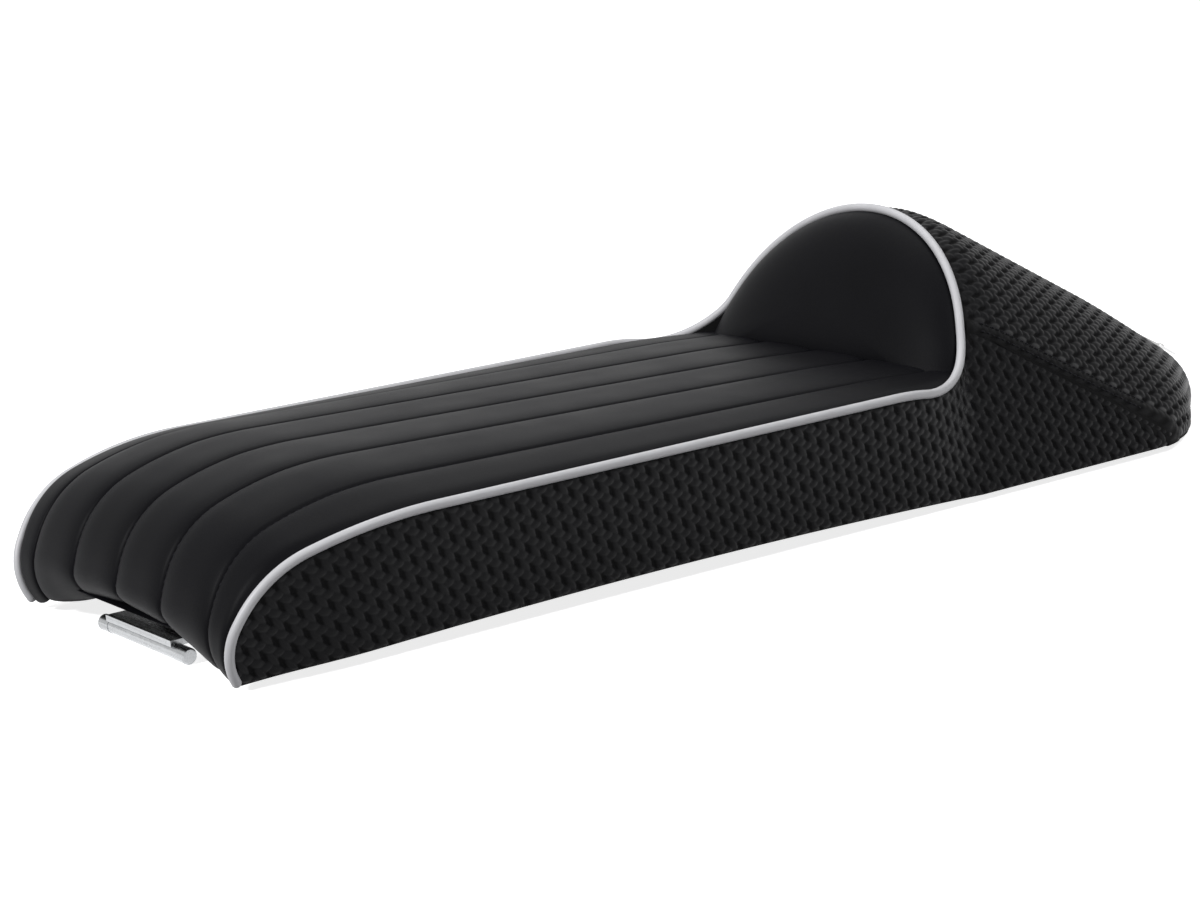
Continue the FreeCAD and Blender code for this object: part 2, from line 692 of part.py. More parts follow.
def ridge(flat, t):
    """Middle of one of the tail ridge's flats, counted from the top one, and the direction out of it."""
    near = tail_ring(EDGE_INSET, 0.0, EDGE_INSET + TAIL_SWELL_RUN)
    far = tail_ring(EDGE_INSET, 0.0, FAR_T - STOP_T)
    i = len(near) // 2 - 1 - flat
    start = (near[i] + near[i + 1]) * 0.5
    run = (far[i] + far[i + 1]) * 0.5 - start
    share = (-t - start.x) / run.x
    width = (near[i] - near[i + 1]) * (1.0 - share) + (far[i] - far[i + 1]) * share
    return start + run * share, width.cross(run).normalize()


def badge_rivet(side, levels):
    """Stud at one badge rivet's place, measured from the plate's outer face."""
    point, way = ridge(side, BADGE_T)
    return studded(levels, point + way * (SEWN_GAP + BADGE_THICKNESS), way)


def badge_hole(side):
    """Hole for one badge rivet, right through the plate and the cover."""
    radius = BADGE_SHANK_R + SEWN_GAP
    return badge_rivet(side, [(radius, -BADGE_RIVET_GRIP - COVER), (radius, BADGE_RIVET_GRIP)])


def badge_plate():
    """Bare plate bent round the tail's ridge."""
    outer = tail_solid(EDGE_INSET, -SEWN_GAP - BADGE_THICKNESS)
    sheet = outer.cut(tail_solid(EDGE_INSET, -SEWN_GAP))
    point, way = ridge(0, BADGE_T)
    half = Vector(0.0, ridge(1, BADGE_T)[0].y + BADGE_RIVET_INSET, 0.0)
    down = way.cross(Vector(0.0, 1.0, 0.0)) * (BADGE_DEPTH / 2.0)
    base = point - way * BADGE_DEPTH
    corners = [base - down - half, base + down - half, base + down + half, base - down + half]
    block = Part.Face(polygon_wire(corners)).extrude(way * (2.0 * BADGE_DEPTH))
    return biggest(biggest(sheet.common(block)).cut([badge_hole(side) for side in (1, -1)]))


def badge_rivets():
    """Two domed rivets that hold the badge plate."""
    dome = [(BADGE_RIVET_R * width, BADGE_RIVET_H * height) for width, height in DOME_SHARES]
    shank = [(BADGE_SHANK_R, -BADGE_RIVET_GRIP), (BADGE_SHANK_R, 0.0)]
    rivets = [biggest(badge_rivet(side, dome).fuse(badge_rivet(side, shank))) for side in (1, -1)]
    return Part.makeCompound(rivets)


def main():
    os.makedirs("parts", exist_ok=True)
    mirror = FreeCAD.Matrix(1, 0, 0, 0, 0, -1, 0, 0, 0, 0, 1, 0, 0, 0, 0, 1)
    side = side_cover()
    parts = {
        "top_cover": top_cover(),
        "backstop_cover": backstop_cover(),
        "side_cover_left": side,
        "side_cover_right": side.transformGeometry(mirror),
        "tail_cover": tail_cover(),
        "piping": piping(PIPING_R),
        "seat_foam": seat_foam(),
        "hump_foam": hump_foam(),
        "stop_pad": stop_pad(),
        "seat_pan": seat_pan(),
        "hinge_pin": hinge_pin(),
        "hinge_plate": hinge_plate(),
        "hinge_bolts": hinge_bolts(),
        "hinge_nuts": hinge_nuts(),
        "badge_plate": badge_plate(),
        "badge_rivets": badge_rivets(),
    }
    names = ["buffer_front_left", "buffer_front_right", "buffer_rear_left", "buffer_rear_right"]
    for name, place in zip(names, buffer_places()):
        parts[name] = buffer(place)
    for name, shape in parts.items():
        shape.exportStep("parts/" + name + ".step")


main()
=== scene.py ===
"""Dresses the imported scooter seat: sewn covers, piping, stitching and finishes over the CAD frame."""

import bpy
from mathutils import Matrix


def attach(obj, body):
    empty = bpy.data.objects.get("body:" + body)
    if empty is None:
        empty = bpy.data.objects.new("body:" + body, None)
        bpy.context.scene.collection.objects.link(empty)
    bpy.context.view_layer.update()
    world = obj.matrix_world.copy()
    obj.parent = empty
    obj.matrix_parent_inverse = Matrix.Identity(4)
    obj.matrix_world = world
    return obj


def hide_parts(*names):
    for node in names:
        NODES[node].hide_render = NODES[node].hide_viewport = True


bl_info = {
    "name": "Scooter seat dressing",
    "version": (1, 0, 0),
    "blender": (4, 5, 0),
    "location": "3D View > Sidebar > Seat",
    "description": "Builds the seat's sewn covers, piping, stitching, finishes and stage",
    "category": "Object",
}

import bmesh
import bpy
import numpy as np
from mathutils import Matrix

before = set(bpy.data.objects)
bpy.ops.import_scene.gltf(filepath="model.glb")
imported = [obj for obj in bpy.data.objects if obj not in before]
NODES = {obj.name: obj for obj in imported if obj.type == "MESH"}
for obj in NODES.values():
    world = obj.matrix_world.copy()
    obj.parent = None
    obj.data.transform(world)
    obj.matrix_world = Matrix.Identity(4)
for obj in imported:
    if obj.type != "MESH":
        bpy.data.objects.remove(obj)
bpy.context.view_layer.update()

# Lengths below are millimetres in the part's own terms: t behind the hinge pin, y to the left and
# h above the covers' lower rim. Only place() turns them into metres.
RIM_RISE = 0.7
RIM_ARCH_H = 5.2
RIM_ARCH_T = 215.0
RIM_ARCH_END_T = 440.0
FRONT_HALF = 101.0
RIM_HALF = 107.0
TOP_HALF = 121.0
FRONT_TAPER = 70.0
PIPING_H = 66.0
NOSE = (-8.2, 0.0)
CHIN = (-17.8, 15.0)
BROW = (3.2, 50.6)
RUN_T = 57.0
NOSE_REACHES = [16.8, 22.5, 31.0]
TURN_T = 377.0
TURN_REACH = 10.5
FOOT = (416.0, 60.0)
FOOT_HALF = 115.0
FOOT_REACH = 27.0
STOP_T = 400.2
STOP_LEAN = np.radians(24.4)
LEAN_COS = np.cos(STOP_LEAN)
SHOULDER_H = 80.5
SHOULDER_HALF = 96.3
SHOULDER_REACH = 6.5
ARCH_H = 141.2
ARCH_HALF = 63.0
ARCH_REACH = 62.6
STOP_BASE_H = 48.0
STOP_BASE_HALF = 107.0
STOP_BASE_REACH = 12.0
TURN_IN_T = 395.0
TURNED_T = 442.0
HUMP_LEAN_IN = 0.128
TAIL_FALL = 0.552
TAIL_SWELL = 4.0
TAIL_SWELL_RUN = 24.0
TAIL_CREST = 3.4
TAIL_ROWS = 264
WEAVE_RATIO = 0.76
WEAVE_LEAN = np.radians(74.0)
SEAM_H = 88.0
SEAM_HALF = 96.0
TOE_CORNER_T = 600.0
TOE_TIP_T = 726.0
TOE_CORNER_REACH = 28.0
TOE_TIP_REACH = 62.0
FAR_T = 808.0
LIP_CROWN = 0.8
NOSE_CROWN = 13.0
REAR_CROWN = 3.5
SEAM_PITCH = 43.25
LIP_RISE = 12.5
LIP_CURL = 14.0
CURL_END = 28.0
LIP_SLANT = 0.84
COVER = 1.8
EDGE_INSET = 2.4
PAN_TOP_H = 15.5
PAN_CLEAR = 0.2

# Cushion: padding across the channels, the hem at the lip and the run to the underside
CHANNELS = 6
CHANNEL_STEPS = 26
EDGE_CHANNEL = 33.0
EDGE_SWELL = 0.6
FOLD_WIDTH = 0.9
FOLD_CLEAR = 9.0
DIVE = 1.6
DIVE_RUN = 4.0
LIP_BLEND = 24.0
HEM = 1.1
HEM_RUN = 1.7
PANEL_THICK = 2.2
REAR_SINK = 5.0
REAR_SINK_T = 426.0
UNDER_T = -10.5
UNDER_DRIFT = 0.02
UNDER_H = 12.0
SINK_RUN = 9.0
LINE_FROM_T = 300.0
LINE_USED_T = 320.0
LINE_OVER = 2.5
POLE_RISE = 44.0

# Woven covers: grid counts, the tuck under the piping and the fold over the tail's seams
SIDE_COLUMNS = 1010
SIDE_ROWS = 85
SIDE_INSET = 0.75
SIDE_DRAWN = 45.0
WELT_SIDE = 1.2
TUCK = 1.2
TUCK_RUN = 2.0
TAIL_COLUMNS = 280
BEND_ROWS = 40
WALL_ROWS = 4
TOE_BEND = 24.0
BEND_SPREAD = 1.5
FELL_WIDTH = 9.0
FELL_RUN = 1.6
CREST_END_T = 585.0
CREST_FADE = 75.0
HUMP_FRONT_T = 412.0
FELL_ROWS = (2.4, 6.6)

# Stage, in metres and watts
FLOOR_Z = -0.004
FLOOR_REACH = 6.0
WORLD_LIGHT = 0.09
SEAT_MIDDLE = (-0.35, 0.0, 0.05)
STOP_MIDDLE = (-0.45, 0.05, 0.1)
LAMPS = (
    ("top_light", (-0.45, -0.35, 1.5), SEAT_MIDDLE, 1.5, 0.9, 8.0),
    ("back_light", (-1.1, -1.5, 0.8), SEAT_MIDDLE, 1.2, 0.6, 1.0),
    ("front_light", (2.2, -0.1, 1.5), STOP_MIDDLE, 0.35, 0.35, 60.0),
    ("side_light", (-0.40, 1.05, 1.15), SEAT_MIDDLE, 1.0, 0.12, 9.0),
)
LENS_MM = 82.71
SENSOR_MM = 36.0
CAMERA_SPOT = (0.5578, 1.126, 0.3567)
CAMERA_ROLL = np.radians(3.53)
CAMERA_LEVEL = np.array((-0.8061, 0.5917, 0.0))
CAMERA_DOWN = np.array((0.1307, 0.1780, -0.9753))


def metre(name, default, description):
    """A length that a user may change."""
    return bpy.props.FloatProperty(
        name=name, description=description, default=default, min=0.0, precision=5, unit="LENGTH"
    )


def colour(name, default, description):
    """A colour that a user may change."""
    return bpy.props.FloatVectorProperty(
        name=name, description=description, default=default, size=3, min=0.0, max=1.0, subtype="COLOR"
    )


class SeatCushionSizes(bpy.types.PropertyGroup):
    """Sizes of the ribbed cushion and the bum stop."""

    pad: metre("Channel padding", 0.0016, "How far a padded channel swells between its seams")
    seam: metre("Seam depth", 0.0008, "Depth of the narrow fold at each seam")
    scallop: metre("Lip scallop", 0.0014, "How far each channel hangs below its seams at the lip")
    puff: metre("Bum stop puff", 0.0165, "How far the bum stop stands out of its plane")


class SeatCoverSizes(bpy.types.PropertyGroup):
    """Sizes of the woven side and tail covers."""

    pitch: metre("Weave pitch", 0.0106, "Distance between neighbouring floats of one strand")
    width: metre("Strand width", 0.0046, "Width of a strand")
    lift: metre("Strand lift", 0.00046, "How far a strand rises and falls over its neighbours")
    strand: metre("Strand height", 0.00076, "Height of a strand's round back")
    side_turn: bpy.props.FloatProperty(
        name="Side weave turn", description="Turn of the weave on the sides", default=-0.50, subtype="ANGLE"
    )
    tail_turn: bpy.props.FloatProperty(
        name="Tail weave turn", description="Turn of the weave on the tail", default=1.571, subtype="ANGLE"
    )


class SeatTrimSizes(bpy.types.PropertyGroup):
    """Sizes of the piping and the stitches."""

    radius: metre("Piping radius", 0.0023, "Radius of the piping")
    stitch_pitch: metre("Stitch pitch", 0.0038, "Distance from one stitch to the next")
    stitch_length: metre("Stitch length", 0.0029, "Visible length of a stitch")
    thread: metre("Thread radius", 0.00034, "Radius of the sewing thread")


class SeatColours(bpy.types.PropertyGroup):
    """Colours of the finishes."""

    leatherette: colour("Leatherette", (0.0028, 0.0028, 0.0037), "Smooth black covers")
    woven: colour("Woven vinyl", (0.0038, 0.0038, 0.0046), "Backs of the woven strands")
    # Painted shade: the colour given to the gaps between the woven strands, where shade falls.
    painted_groove_shade: colour("Weave groove", (0.0012, 0.0012, 0.0014), "Gaps between the woven strands")
    piping: colour("Piping", (0.52, 0.52, 0.54), "Light piping")
    thread: colour("Thread", (0.008, 0.008, 0.010), "Sewing thread")
    paint: colour("Base paint", (0.020, 0.020, 0.021), "Painted steel base")
    zinc: colour("Zinc", (0.44, 0.45, 0.46), "Plated pin, strap and fasteners")
    rubber: colour("Rubber", (0.024, 0.024, 0.024), "Rubber buffers")
    badge: colour("Badge metal", (0.60, 0.60, 0.60), "Bare badge plate and rivets")
    floor: colour("Floor", (0.86, 0.86, 0.87), "Studio floor")


def soft(x):
    """Soft step: x squared times three less two x, held between 0 and 1."""
    x = np.clip(x, 0.0, 1.0)
    return x * x * (3.0 - 2.0 * x)


def quarter(x):
    """Quarter circle: root of one less the square of one less x, from 0 at 0 to 1 at 1."""
    return np.sqrt(1.0 - (1.0 - np.clip(x, 0.0, 1.0)) ** 2)


def unit(vectors):
    """Vectors of length one."""
    return vectors / np.linalg.norm(vectors, axis=-1, keepdims=True)


def place(t, y, h):
    """Points in metres from stations behind the pin, side distances and heights over the rim."""
    t, y, h = np.broadcast_arrays(t, y, h)
    return np.stack((-t, y, RIM_RISE + h), axis=-1) * 0.001


def side_half(t, h):
    """Half width of the covers: a soft taper at the nose, and a flare that turns in at the hump."""
    rim = FRONT_HALF + (RIM_HALF - FRONT_HALF) * soft((t - NOSE[0]) / FRONT_TAPER)
    seat_flare = (TOP_HALF - RIM_HALF) / PIPING_H
    turn = soft((t - TURN_IN_T) / (TURNED_T - TURN_IN_T))
    return rim + h * (seat_flare + (-HUMP_LEAN_IN - seat_flare) * turn)


def stop_t(h):
    """Station of the bum stop's leaning plane: it moves back with height by the tangent of the lean."""
    return STOP_T + h * np.tan(STOP_LEAN)


def rounded(corners, reaches, steps):
    """Path through corners whose bends are tangent arcs, each starting a reach before its corner.

    An arc's centre lies on the corner's bisector; its points are the centre plus radius times cosine
    and sine of an even sweep. Every bend has the same number of steps, so two like paths correspond.
    """
    corners = [np.asarray(c, float) for c in corners]
    runs = [corners[0][None]]
    for before, corner, after, reach in zip(corners, corners[1:], corners[2:], reaches):
        arriving, leaving = unit(corner - before), unit(after - corner)
        half = np.arccos(np.clip(arriving @ leaving, -1.0, 1.0)) / 2.0
        radius = reach / np.tan(half)
        inward, onward = unit(leaving - arriving), unit(leaving + arriving)
        sweep = np.linspace(-half, half, steps + 1)[:, None]
        centre = corner + inward * (radius / np.cos(half))
        runs.append(centre - inward * radius * np.cos(sweep) + onward * radius * np.sin(sweep))
    runs.append(corners[-1][None])
    return np.concatenate(runs)


def walked(path):
    """Distance walked along a path at each of its points."""
    return np.concatenate(([0.0], np.cumsum(np.linalg.norm(np.diff(path, axis=0), axis=1))))


def along(path, s):
    """Points at distances along a path, by straight interpolation between its points."""
    way = walked(path)
    return np.stack([np.interp(s, way, path[:, k]) for k in range(path.shape[1])], axis=-1)


def heading(path, s, reach=1.0):
    """Unit direction of a path at distances along it, from points a reach before and after."""
    return unit(along(path, np.asarray(s) + reach) - along(path, np.asarray(s) - reach))


def grid_quads(rows, columns, wrap=False):
    """Quads of a grid stored row by row; with wrap the last row joins the first."""
    top = np.arange(rows if wrap else rows - 1)
    r, c = np.meshgrid(top, np.arange(columns - 1), indexing="ij")
    below = (r + 1) % rows
    quads = (r * columns + c, r * columns + c + 1, below * columns + c + 1, below * columns + c)
    return np.stack(quads, axis=-1).reshape(-1, 4)


def end_caps(rows, columns):
    """The first and the last column of a grid, as two closing faces."""
    first = np.arange(rows) * columns
    return [first, first + columns - 1]


def make_piece(name, points, quads, finish, caps=(), fields=None, weld=0.0):
    """New object from points and quads, with end caps, point attributes and its finish."""
    mesh = bpy.data.meshes.new(name)
    loops = np.concatenate([quads.ravel()] + [np.asarray(c) for c in caps]).astype(np.int32)
    sizes = np.concatenate([np.full(len(quads), 4)] + [[len(c)] for c in caps]).astype(np.int32)
    starts = np.concatenate(([0], np.cumsum(sizes)[:-1])).astype(np.int32)
    mesh.vertices.add(len(points))
    mesh.vertices.foreach_set("co", points.astype(np.float32).ravel())
    mesh.loops.add(len(loops))
    mesh.loops.foreach_set("vertex_index", loops)
    mesh.polygons.add(len(sizes))
    mesh.polygons.foreach_set("loop_start", starts)
    for field, values in (fields or {}).items():
        layer = mesh.attributes.new(field, "FLOAT", "POINT")
        layer.data.foreach_set("value", np.asarray(values, np.float32).ravel())
    mesh.update(calc_edges=True)
    mesh.validate()
    shell = bmesh.new()
    shell.from_mesh(mesh)
    if weld:
        bmesh.ops.remove_doubles(shell, verts=shell.verts, dist=weld)
    bmesh.ops.recalc_face_normals(shell, faces=shell.faces)
    shell.to_mesh(mesh)
    shell.free()
    mesh.polygons.foreach_set("use_smooth", np.ones(len(mesh.polygons), dtype=bool))
    mesh.materials.append(finish)
    piece = bpy.data.objects.new(name, mesh)
    bpy.context.scene.collection.objects.link(piece)
    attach(piece, "root")
    return piece


def slab(name, outer, inner, finish, weld, joined=False):
    """Closed piece from an outer and an inner grid, joined by a strip unless their borders coincide."""
    rows, columns = outer.shape[:2]
    count = rows * columns
    quads = grid_quads(rows, columns)
    index = np.arange(count).reshape(rows, columns)
    rim = np.concatenate((index[0, :-1], index[:-1, -1], index[-1, :0:-1], index[:0:-1, 0]))
    after = np.roll(rim, -1)
    strip = np.stack((rim, after, after + count, rim + count), axis=-1)
    points = np.concatenate((outer.reshape(-1, 3), inner.reshape(-1, 3)))
    faces = [quads, quads[:, ::-1] + count] + ([] if joined else [strip])
    return make_piece(name, points, np.concatenate(faces), finish, weld=weld)


class Value:
    """A number on a shader socket; an operator on it adds a Math node."""

    def __init__(self, recipe, socket):
        self.recipe = recipe
        self.socket = socket

    def _math(self, operation, first, second):
        return self.recipe.add("ShaderNodeMath", {"operation": operation}, {0: first, 1: second})

    def __add__(self, other):
        return self._math("ADD", self, other)

    def __radd__(self, other):
        return self._math("ADD", other, self)

    def __sub__(self, other):
        return self._math("SUBTRACT", self, other)

    def __rsub__(self, other):
        return self._math("SUBTRACT", other, self)

    def __mul__(self, other):
        return self._math("MULTIPLY", self, other)

    def __rmul__(self, other):
        return self._math("MULTIPLY", other, self)


class Recipe:
    """One finish: the material or world that holds it, and one method that adds any node."""

    def __init__(self, owner):
        self.owner = owner
        owner.use_nodes = True
        self.tree = owner.node_tree
        self.tree.nodes.clear()

    def add(self, kind, settings=None, sockets=None, out=0):
        """A node of a kind: its settings first, then its sockets' values or links."""
        node = self.tree.nodes.new(kind)
        for key, value in (settings or {}).items():
            if key == "stops":
                for element, (where, shade) in zip(node.color_ramp.elements, value):
                    element.position = where
                    element.color = (*shade, 1.0)
            else:
                setattr(node, key, value)
        for key, value in (sockets or {}).items():
            if isinstance(value, Value):
                self.tree.links.new(value.socket, node.inputs[key])
            else:
                node.inputs[key].default_value = value
        return Value(self, node.outputs[out]) if len(node.outputs) else node

    def place(self):
        """Object coordinates, in metres."""
        return self.add("ShaderNodeTexCoord", out=3)

    def noise(self, scale, detail=3.0, roughness=0.5, where=None):
        """Soft noise over the object."""
        place = where or self.place()
        sockets = {"Vector": place, "Scale": scale, "Detail": detail, "Roughness": roughness}
        return self.add("ShaderNodeTexNoise", {}, sockets)

    def cells(self, scale):
        """Soft-edged cells over the object."""
        sockets = {"Vector": self.place(), "Scale": scale}
        return self.add("ShaderNodeTexVoronoi", {"feature": "SMOOTH_F1"}, sockets)

    def drawn(self, across, lengthwise):
        """Noise stretched along y, as drawn or brushed metal shows it."""
        scale = (across, lengthwise, across)
        stretched = self.add("ShaderNodeMapping", {}, {"Vector": self.place(), "Scale": scale})
        return self.noise(1.0, where=stretched)

    def ramp(self, value, low, high, low_shade, high_shade):
        """A colour that runs from one shade to another between two values."""
        stops = [(low, low_shade), (high, high_shade)]
        return self.add("ShaderNodeValToRGB", {"stops": stops}, {"Fac": value})

    def between(self, value, low, high, first, last):
        """A number carried from one range to another, held at both ends."""
        sockets = {"Value": value, "From Min": low, "From Max": high, "To Min": first, "To Max": last}
        return self.add("ShaderNodeMapRange", {}, sockets)

    def bump(self, height, distance, strength):
        """A normal tilted by a height."""
        sockets = {"Height": height, "Distance": distance, "Strength": strength}
        return self.add("ShaderNodeBump", {}, sockets)

    def finish(self, **sockets):
        """The surface itself; an underscore in a socket's name stands for a space."""
        named = {key.replace("_", " "): value for key, value in sockets.items()}
        surface = self.add("ShaderNodeBsdfPrincipled", {}, named)
        self.add("ShaderNodeOutputMaterial", {}, {"Surface": surface})
        return self.owner


def shade(values, factor):
    """A colour made darker or lighter."""
    return tuple(min(1.0, float(v) * factor) for v in values)


def leatherette(r, colours):
    """Black leatherette: fine pebbled grain, faint cloudiness in colour and sheen."""
    grain = r.cells(1500.0)
    fine = r.noise(5200.0, 2.0)
    cloud = r.noise(26.0, 3.0)
    height = grain * 0.8 + fine * 0.35
    dark, light = shade(colours.leatherette, 0.82), shade(colours.leatherette, 1.18)
    tone = r.ramp(cloud + (grain - 0.4) * 0.5, 0.3, 0.8, dark, light)
    return r.finish(
        Base_Color=tone,
        Roughness=r.between(cloud * 0.5 + fine * 0.5, 0.3, 0.7, 0.42, 0.54),
        Specular_IOR_Level=0.045,
        Normal=r.bump(height, 0.00010, 0.5),
    )


def woven_cover(r, colours):
    """Embossed vinyl: glossier strand backs, dull gaps painted dark as shade between the strands, and a
    fine grain on each strand.
    """
    relief = r.add("ShaderNodeAttribute", {"attribute_name": "relief"}, out=2)
    fine = r.noise(3600.0, 3.0)
    cloud = r.noise(18.0, 2.0)
    shown = relief + (cloud - 0.5) * 0.2
    # Painted shade: the colour runs by the relief's height from the strand backs down to the darker painted
    # gap shade.
    tone = r.ramp(shown, 0.2, 0.75, tuple(colours.painted_groove_shade), tuple(colours.woven))
    return r.finish(
        Base_Color=tone,
        Roughness=r.between(relief + (fine - 0.5) * 0.4, 0.2, 0.95, 0.75, 0.30),
        Specular_IOR_Level=0.08,
        Normal=r.bump(fine, 0.00003, 0.5),
    )


def piping_vinyl(r, colours):
    """Light smooth vinyl with a faint grain and slight handling marks."""
    fine = r.noise(2600.0, 3.0)
    marks = r.noise(75.0, 4.0)
    tone = r.ramp(marks, 0.3, 0.75, shade(colours.piping, 0.93), shade(colours.piping, 1.03))
    return r.finish(
        Base_Color=tone,
        Roughness=r.between(marks, 0.3, 0.7, 0.42, 0.52),
        Normal=r.bump(fine, 0.0001, 0.35),
    )


def sewing_thread(r, colours):
    """Dark polyester thread with a slight twist."""
    sockets = {"Vector": r.place(), "Scale": 900.0, "Distortion": 0.6}
    twist = r.add("ShaderNodeTexWave", {"bands_direction": "DIAGONAL"}, sockets, out=1)
    tone = r.ramp(twist, 0.2, 0.9, shade(colours.thread, 0.7), shade(colours.thread, 1.8))
    return r.finish(
        Base_Color=tone,
        Roughness=r.between(twist, 0.0, 1.0, 0.7, 0.5),
        Specular_IOR_Level=0.06,
        Normal=r.bump(twist, 0.00005, 0.5),
    )


def base_paint(r, colours):
    """Satin black paint with orange peel and a few dull scuffs."""
    peel = r.noise(420.0, 2.0)
    scuff = r.noise(34.0, 6.0, 0.65)
    tone = r.ramp(scuff, 0.45, 0.72, tuple(colours.paint), shade(colours.paint, 1.9))
    return r.finish(
        Base_Color=tone,
        Roughness=r.between(scuff, 0.35, 0.7, 0.34, 0.55),
        Normal=r.bump(peel, 0.0002, 0.3),
    )


def zinc_plate(r, colours):
    """Plated steel with drawn streaks along the pin and small dull spots."""
    streak = r.drawn(900.0, 24.0)
    spots = r.noise(240.0, 4.0)
    dark, light = shade(colours.zinc, 0.78), shade(colours.zinc, 1.12)
    return r.finish(
        Base_Color=r.ramp(streak * 0.6 + spots * 0.4, 0.3, 0.7, dark, light),
        Metallic=1.0,
        Roughness=r.between(streak + spots * 0.5, 0.5, 1.0, 0.2, 0.34),
        Normal=r.bump(streak, 0.00004, 0.4),
    )


def moulded_rubber(r, colours):
    """Dull moulded rubber with a pale dusty bloom."""
    bloom = r.noise(90.0, 5.0)
    fine = r.noise(1900.0, 2.0)
    tone = r.ramp(bloom, 0.35, 0.8, tuple(colours.rubber), shade(colours.rubber, 1.8))
    return r.finish(
        Base_Color=tone,
        Roughness=r.between(bloom, 0.3, 0.7, 0.68, 0.85),
        Normal=r.bump(fine, 0.0002, 0.4),
    )


def brushed_badge(r, colours):
    """Bright bare metal, brushed across the plate."""
    brush = r.drawn(1400.0, 30.0)
    tone = r.ramp(brush, 0.3, 0.7, shade(colours.badge, 0.86), shade(colours.badge, 1.08))
    return r.finish(
        Base_Color=tone,
        Metallic=1.0,
        Roughness=r.between(brush, 0.3, 0.7, 0.16, 0.28),
        Normal=r.bump(brush, 0.00003, 0.3),
    )


def finish_of(maker):
    """A finish made once, named for its maker, and shared by the pieces that have it."""
    name = maker.__name__
    found = bpy.data.materials.get(name)
    return found or maker(Recipe(bpy.data.materials.new(name)), bpy.context.scene.seat_colours)


def top_path():
    """Side view of the top panel: up the nose from the rim, over the brow, back under the bum stop."""
    end = (stop_t(FOOT[1]) + 14.0, FOOT[1] + 4.0)
    corners = [NOSE, CHIN, BROW, (RUN_T, PIPING_H), (TURN_T, PIPING_H), end]
    return rounded(corners, NOSE_REACHES + [TURN_REACH], 24)


def lip_h(y):
    """Height of the arched lip: a parabola over the two front corners."""
    return LIP_RISE * np.clip(1.0 - (y / FRONT_HALF) ** 2, 0.0, 1.0)


def lip_curl(s, y):
    """How far the lip curls back under the nose: a square that dies out upward, most in the middle."""
    start = lip_h(y) / LIP_SLANT
    left = np.clip((CURL_END - s) / (CURL_END - start), 0.0, 1.0)
    return LIP_CURL * np.clip(1.0 - (y / FRONT_HALF) ** 2, 0.0, 1.0) * left ** 2


def crown_at(t, h):
    """Rise of the panel's middle: least at the lip, most behind the brow, less at the crease."""
    nose = LIP_CROWN + (NOSE_CROWN - LIP_CROWN) * soft((h - CHIN[1]) / (PIPING_H - CHIN[1]))
    back = NOSE_CROWN + (REAR_CROWN - NOSE_CROWN) * (t - RUN_T) / (FOOT[0] - RUN_T)
    return np.where(t < RUN_T, nose, np.minimum(back, nose))


def channel_shares():
    """Columns across the panel: cosine steps inside each channel, so that they crowd at the seams.

    Gives each column's channel from left to right and its share of that channel's width.
    """
    share = 0.5 - 0.5 * np.cos(np.pi * np.arange(CHANNEL_STEPS) / CHANNEL_STEPS)
    channel = np.repeat(np.arange(CHANNELS), CHANNEL_STEPS)
    return np.append(channel, CHANNELS - 1), np.append(np.tile(share, CHANNELS), 1.0)


def panel_height(y, channel, share, t, h, sizes):
    """Height of the panel over the piping line: a flat-topped crown of the third power, a rounded swell
    in each channel, fuller down the nose, less a narrow bell-shaped fold at each seam and a bell-shaped
    dive beside the piping."""
    first, last = channel == 0, channel == CHANNELS - 1
    swell = (1.0 - np.abs(2.0 * share - 1.0) ** 4.0) ** 0.8
    full = 1.0 + 0.2 * (1.0 - soft((t + 5.0) / 60.0))
    border = first & (share < 0.5) | last & (share > 0.5)
    width = np.where(first | last, EDGE_CHANNEL, SEAM_PITCH)
    off = np.minimum(share, 1.0 - share) * width + np.where(border, FOLD_CLEAR, 0.0)
    fold = np.exp(-((off / FOLD_WIDTH) ** 2))
    crown = crown_at(t, h) * (1.0 - np.clip(np.abs(y) / TOP_HALF, 0.0, 1.0) ** 3)
    low = np.where(first | last, EDGE_SWELL, 1.0)
    to_piping = np.where(first, share, np.where(last, 1.0 - share, 1.0)) * width
    dive = DIVE * np.exp(-((to_piping / DIVE_RUN) ** 2))
    return crown - dive + 1000.0 * (sizes.pad * swell * full * low - sizes.seam * fold)


def cushion_rows(path):
    """Distances along the side view: crowded at the lip's edge, then even to the end under the bum stop."""
    edge = np.array([0.0, 0.05, 0.18, 0.4, 0.75, 1.2, 1.7])
    nose = np.linspace(2.6, LIP_BLEND, 14)
    body = np.linspace(25.6, walked(path)[-1] - 1.0, 205)
    return np.concatenate((edge, nose, body))


def panel_half(t, h):
    """Half width of the top panel: up to the piping, which turns in before the bum stop."""
    line = piping_line()
    left = line[: len(line) // 2]
    left = left[(left[:, 0] > LINE_FROM_T) & (left[:, 0] < FOOT[0])]
    turned = np.minimum(np.interp(t, left[:, 0], left[:, 1]), side_half(t, h) + LINE_OVER)
    return np.where(t > LINE_USED_T, turned, side_half(t, h)) - EDGE_INSET


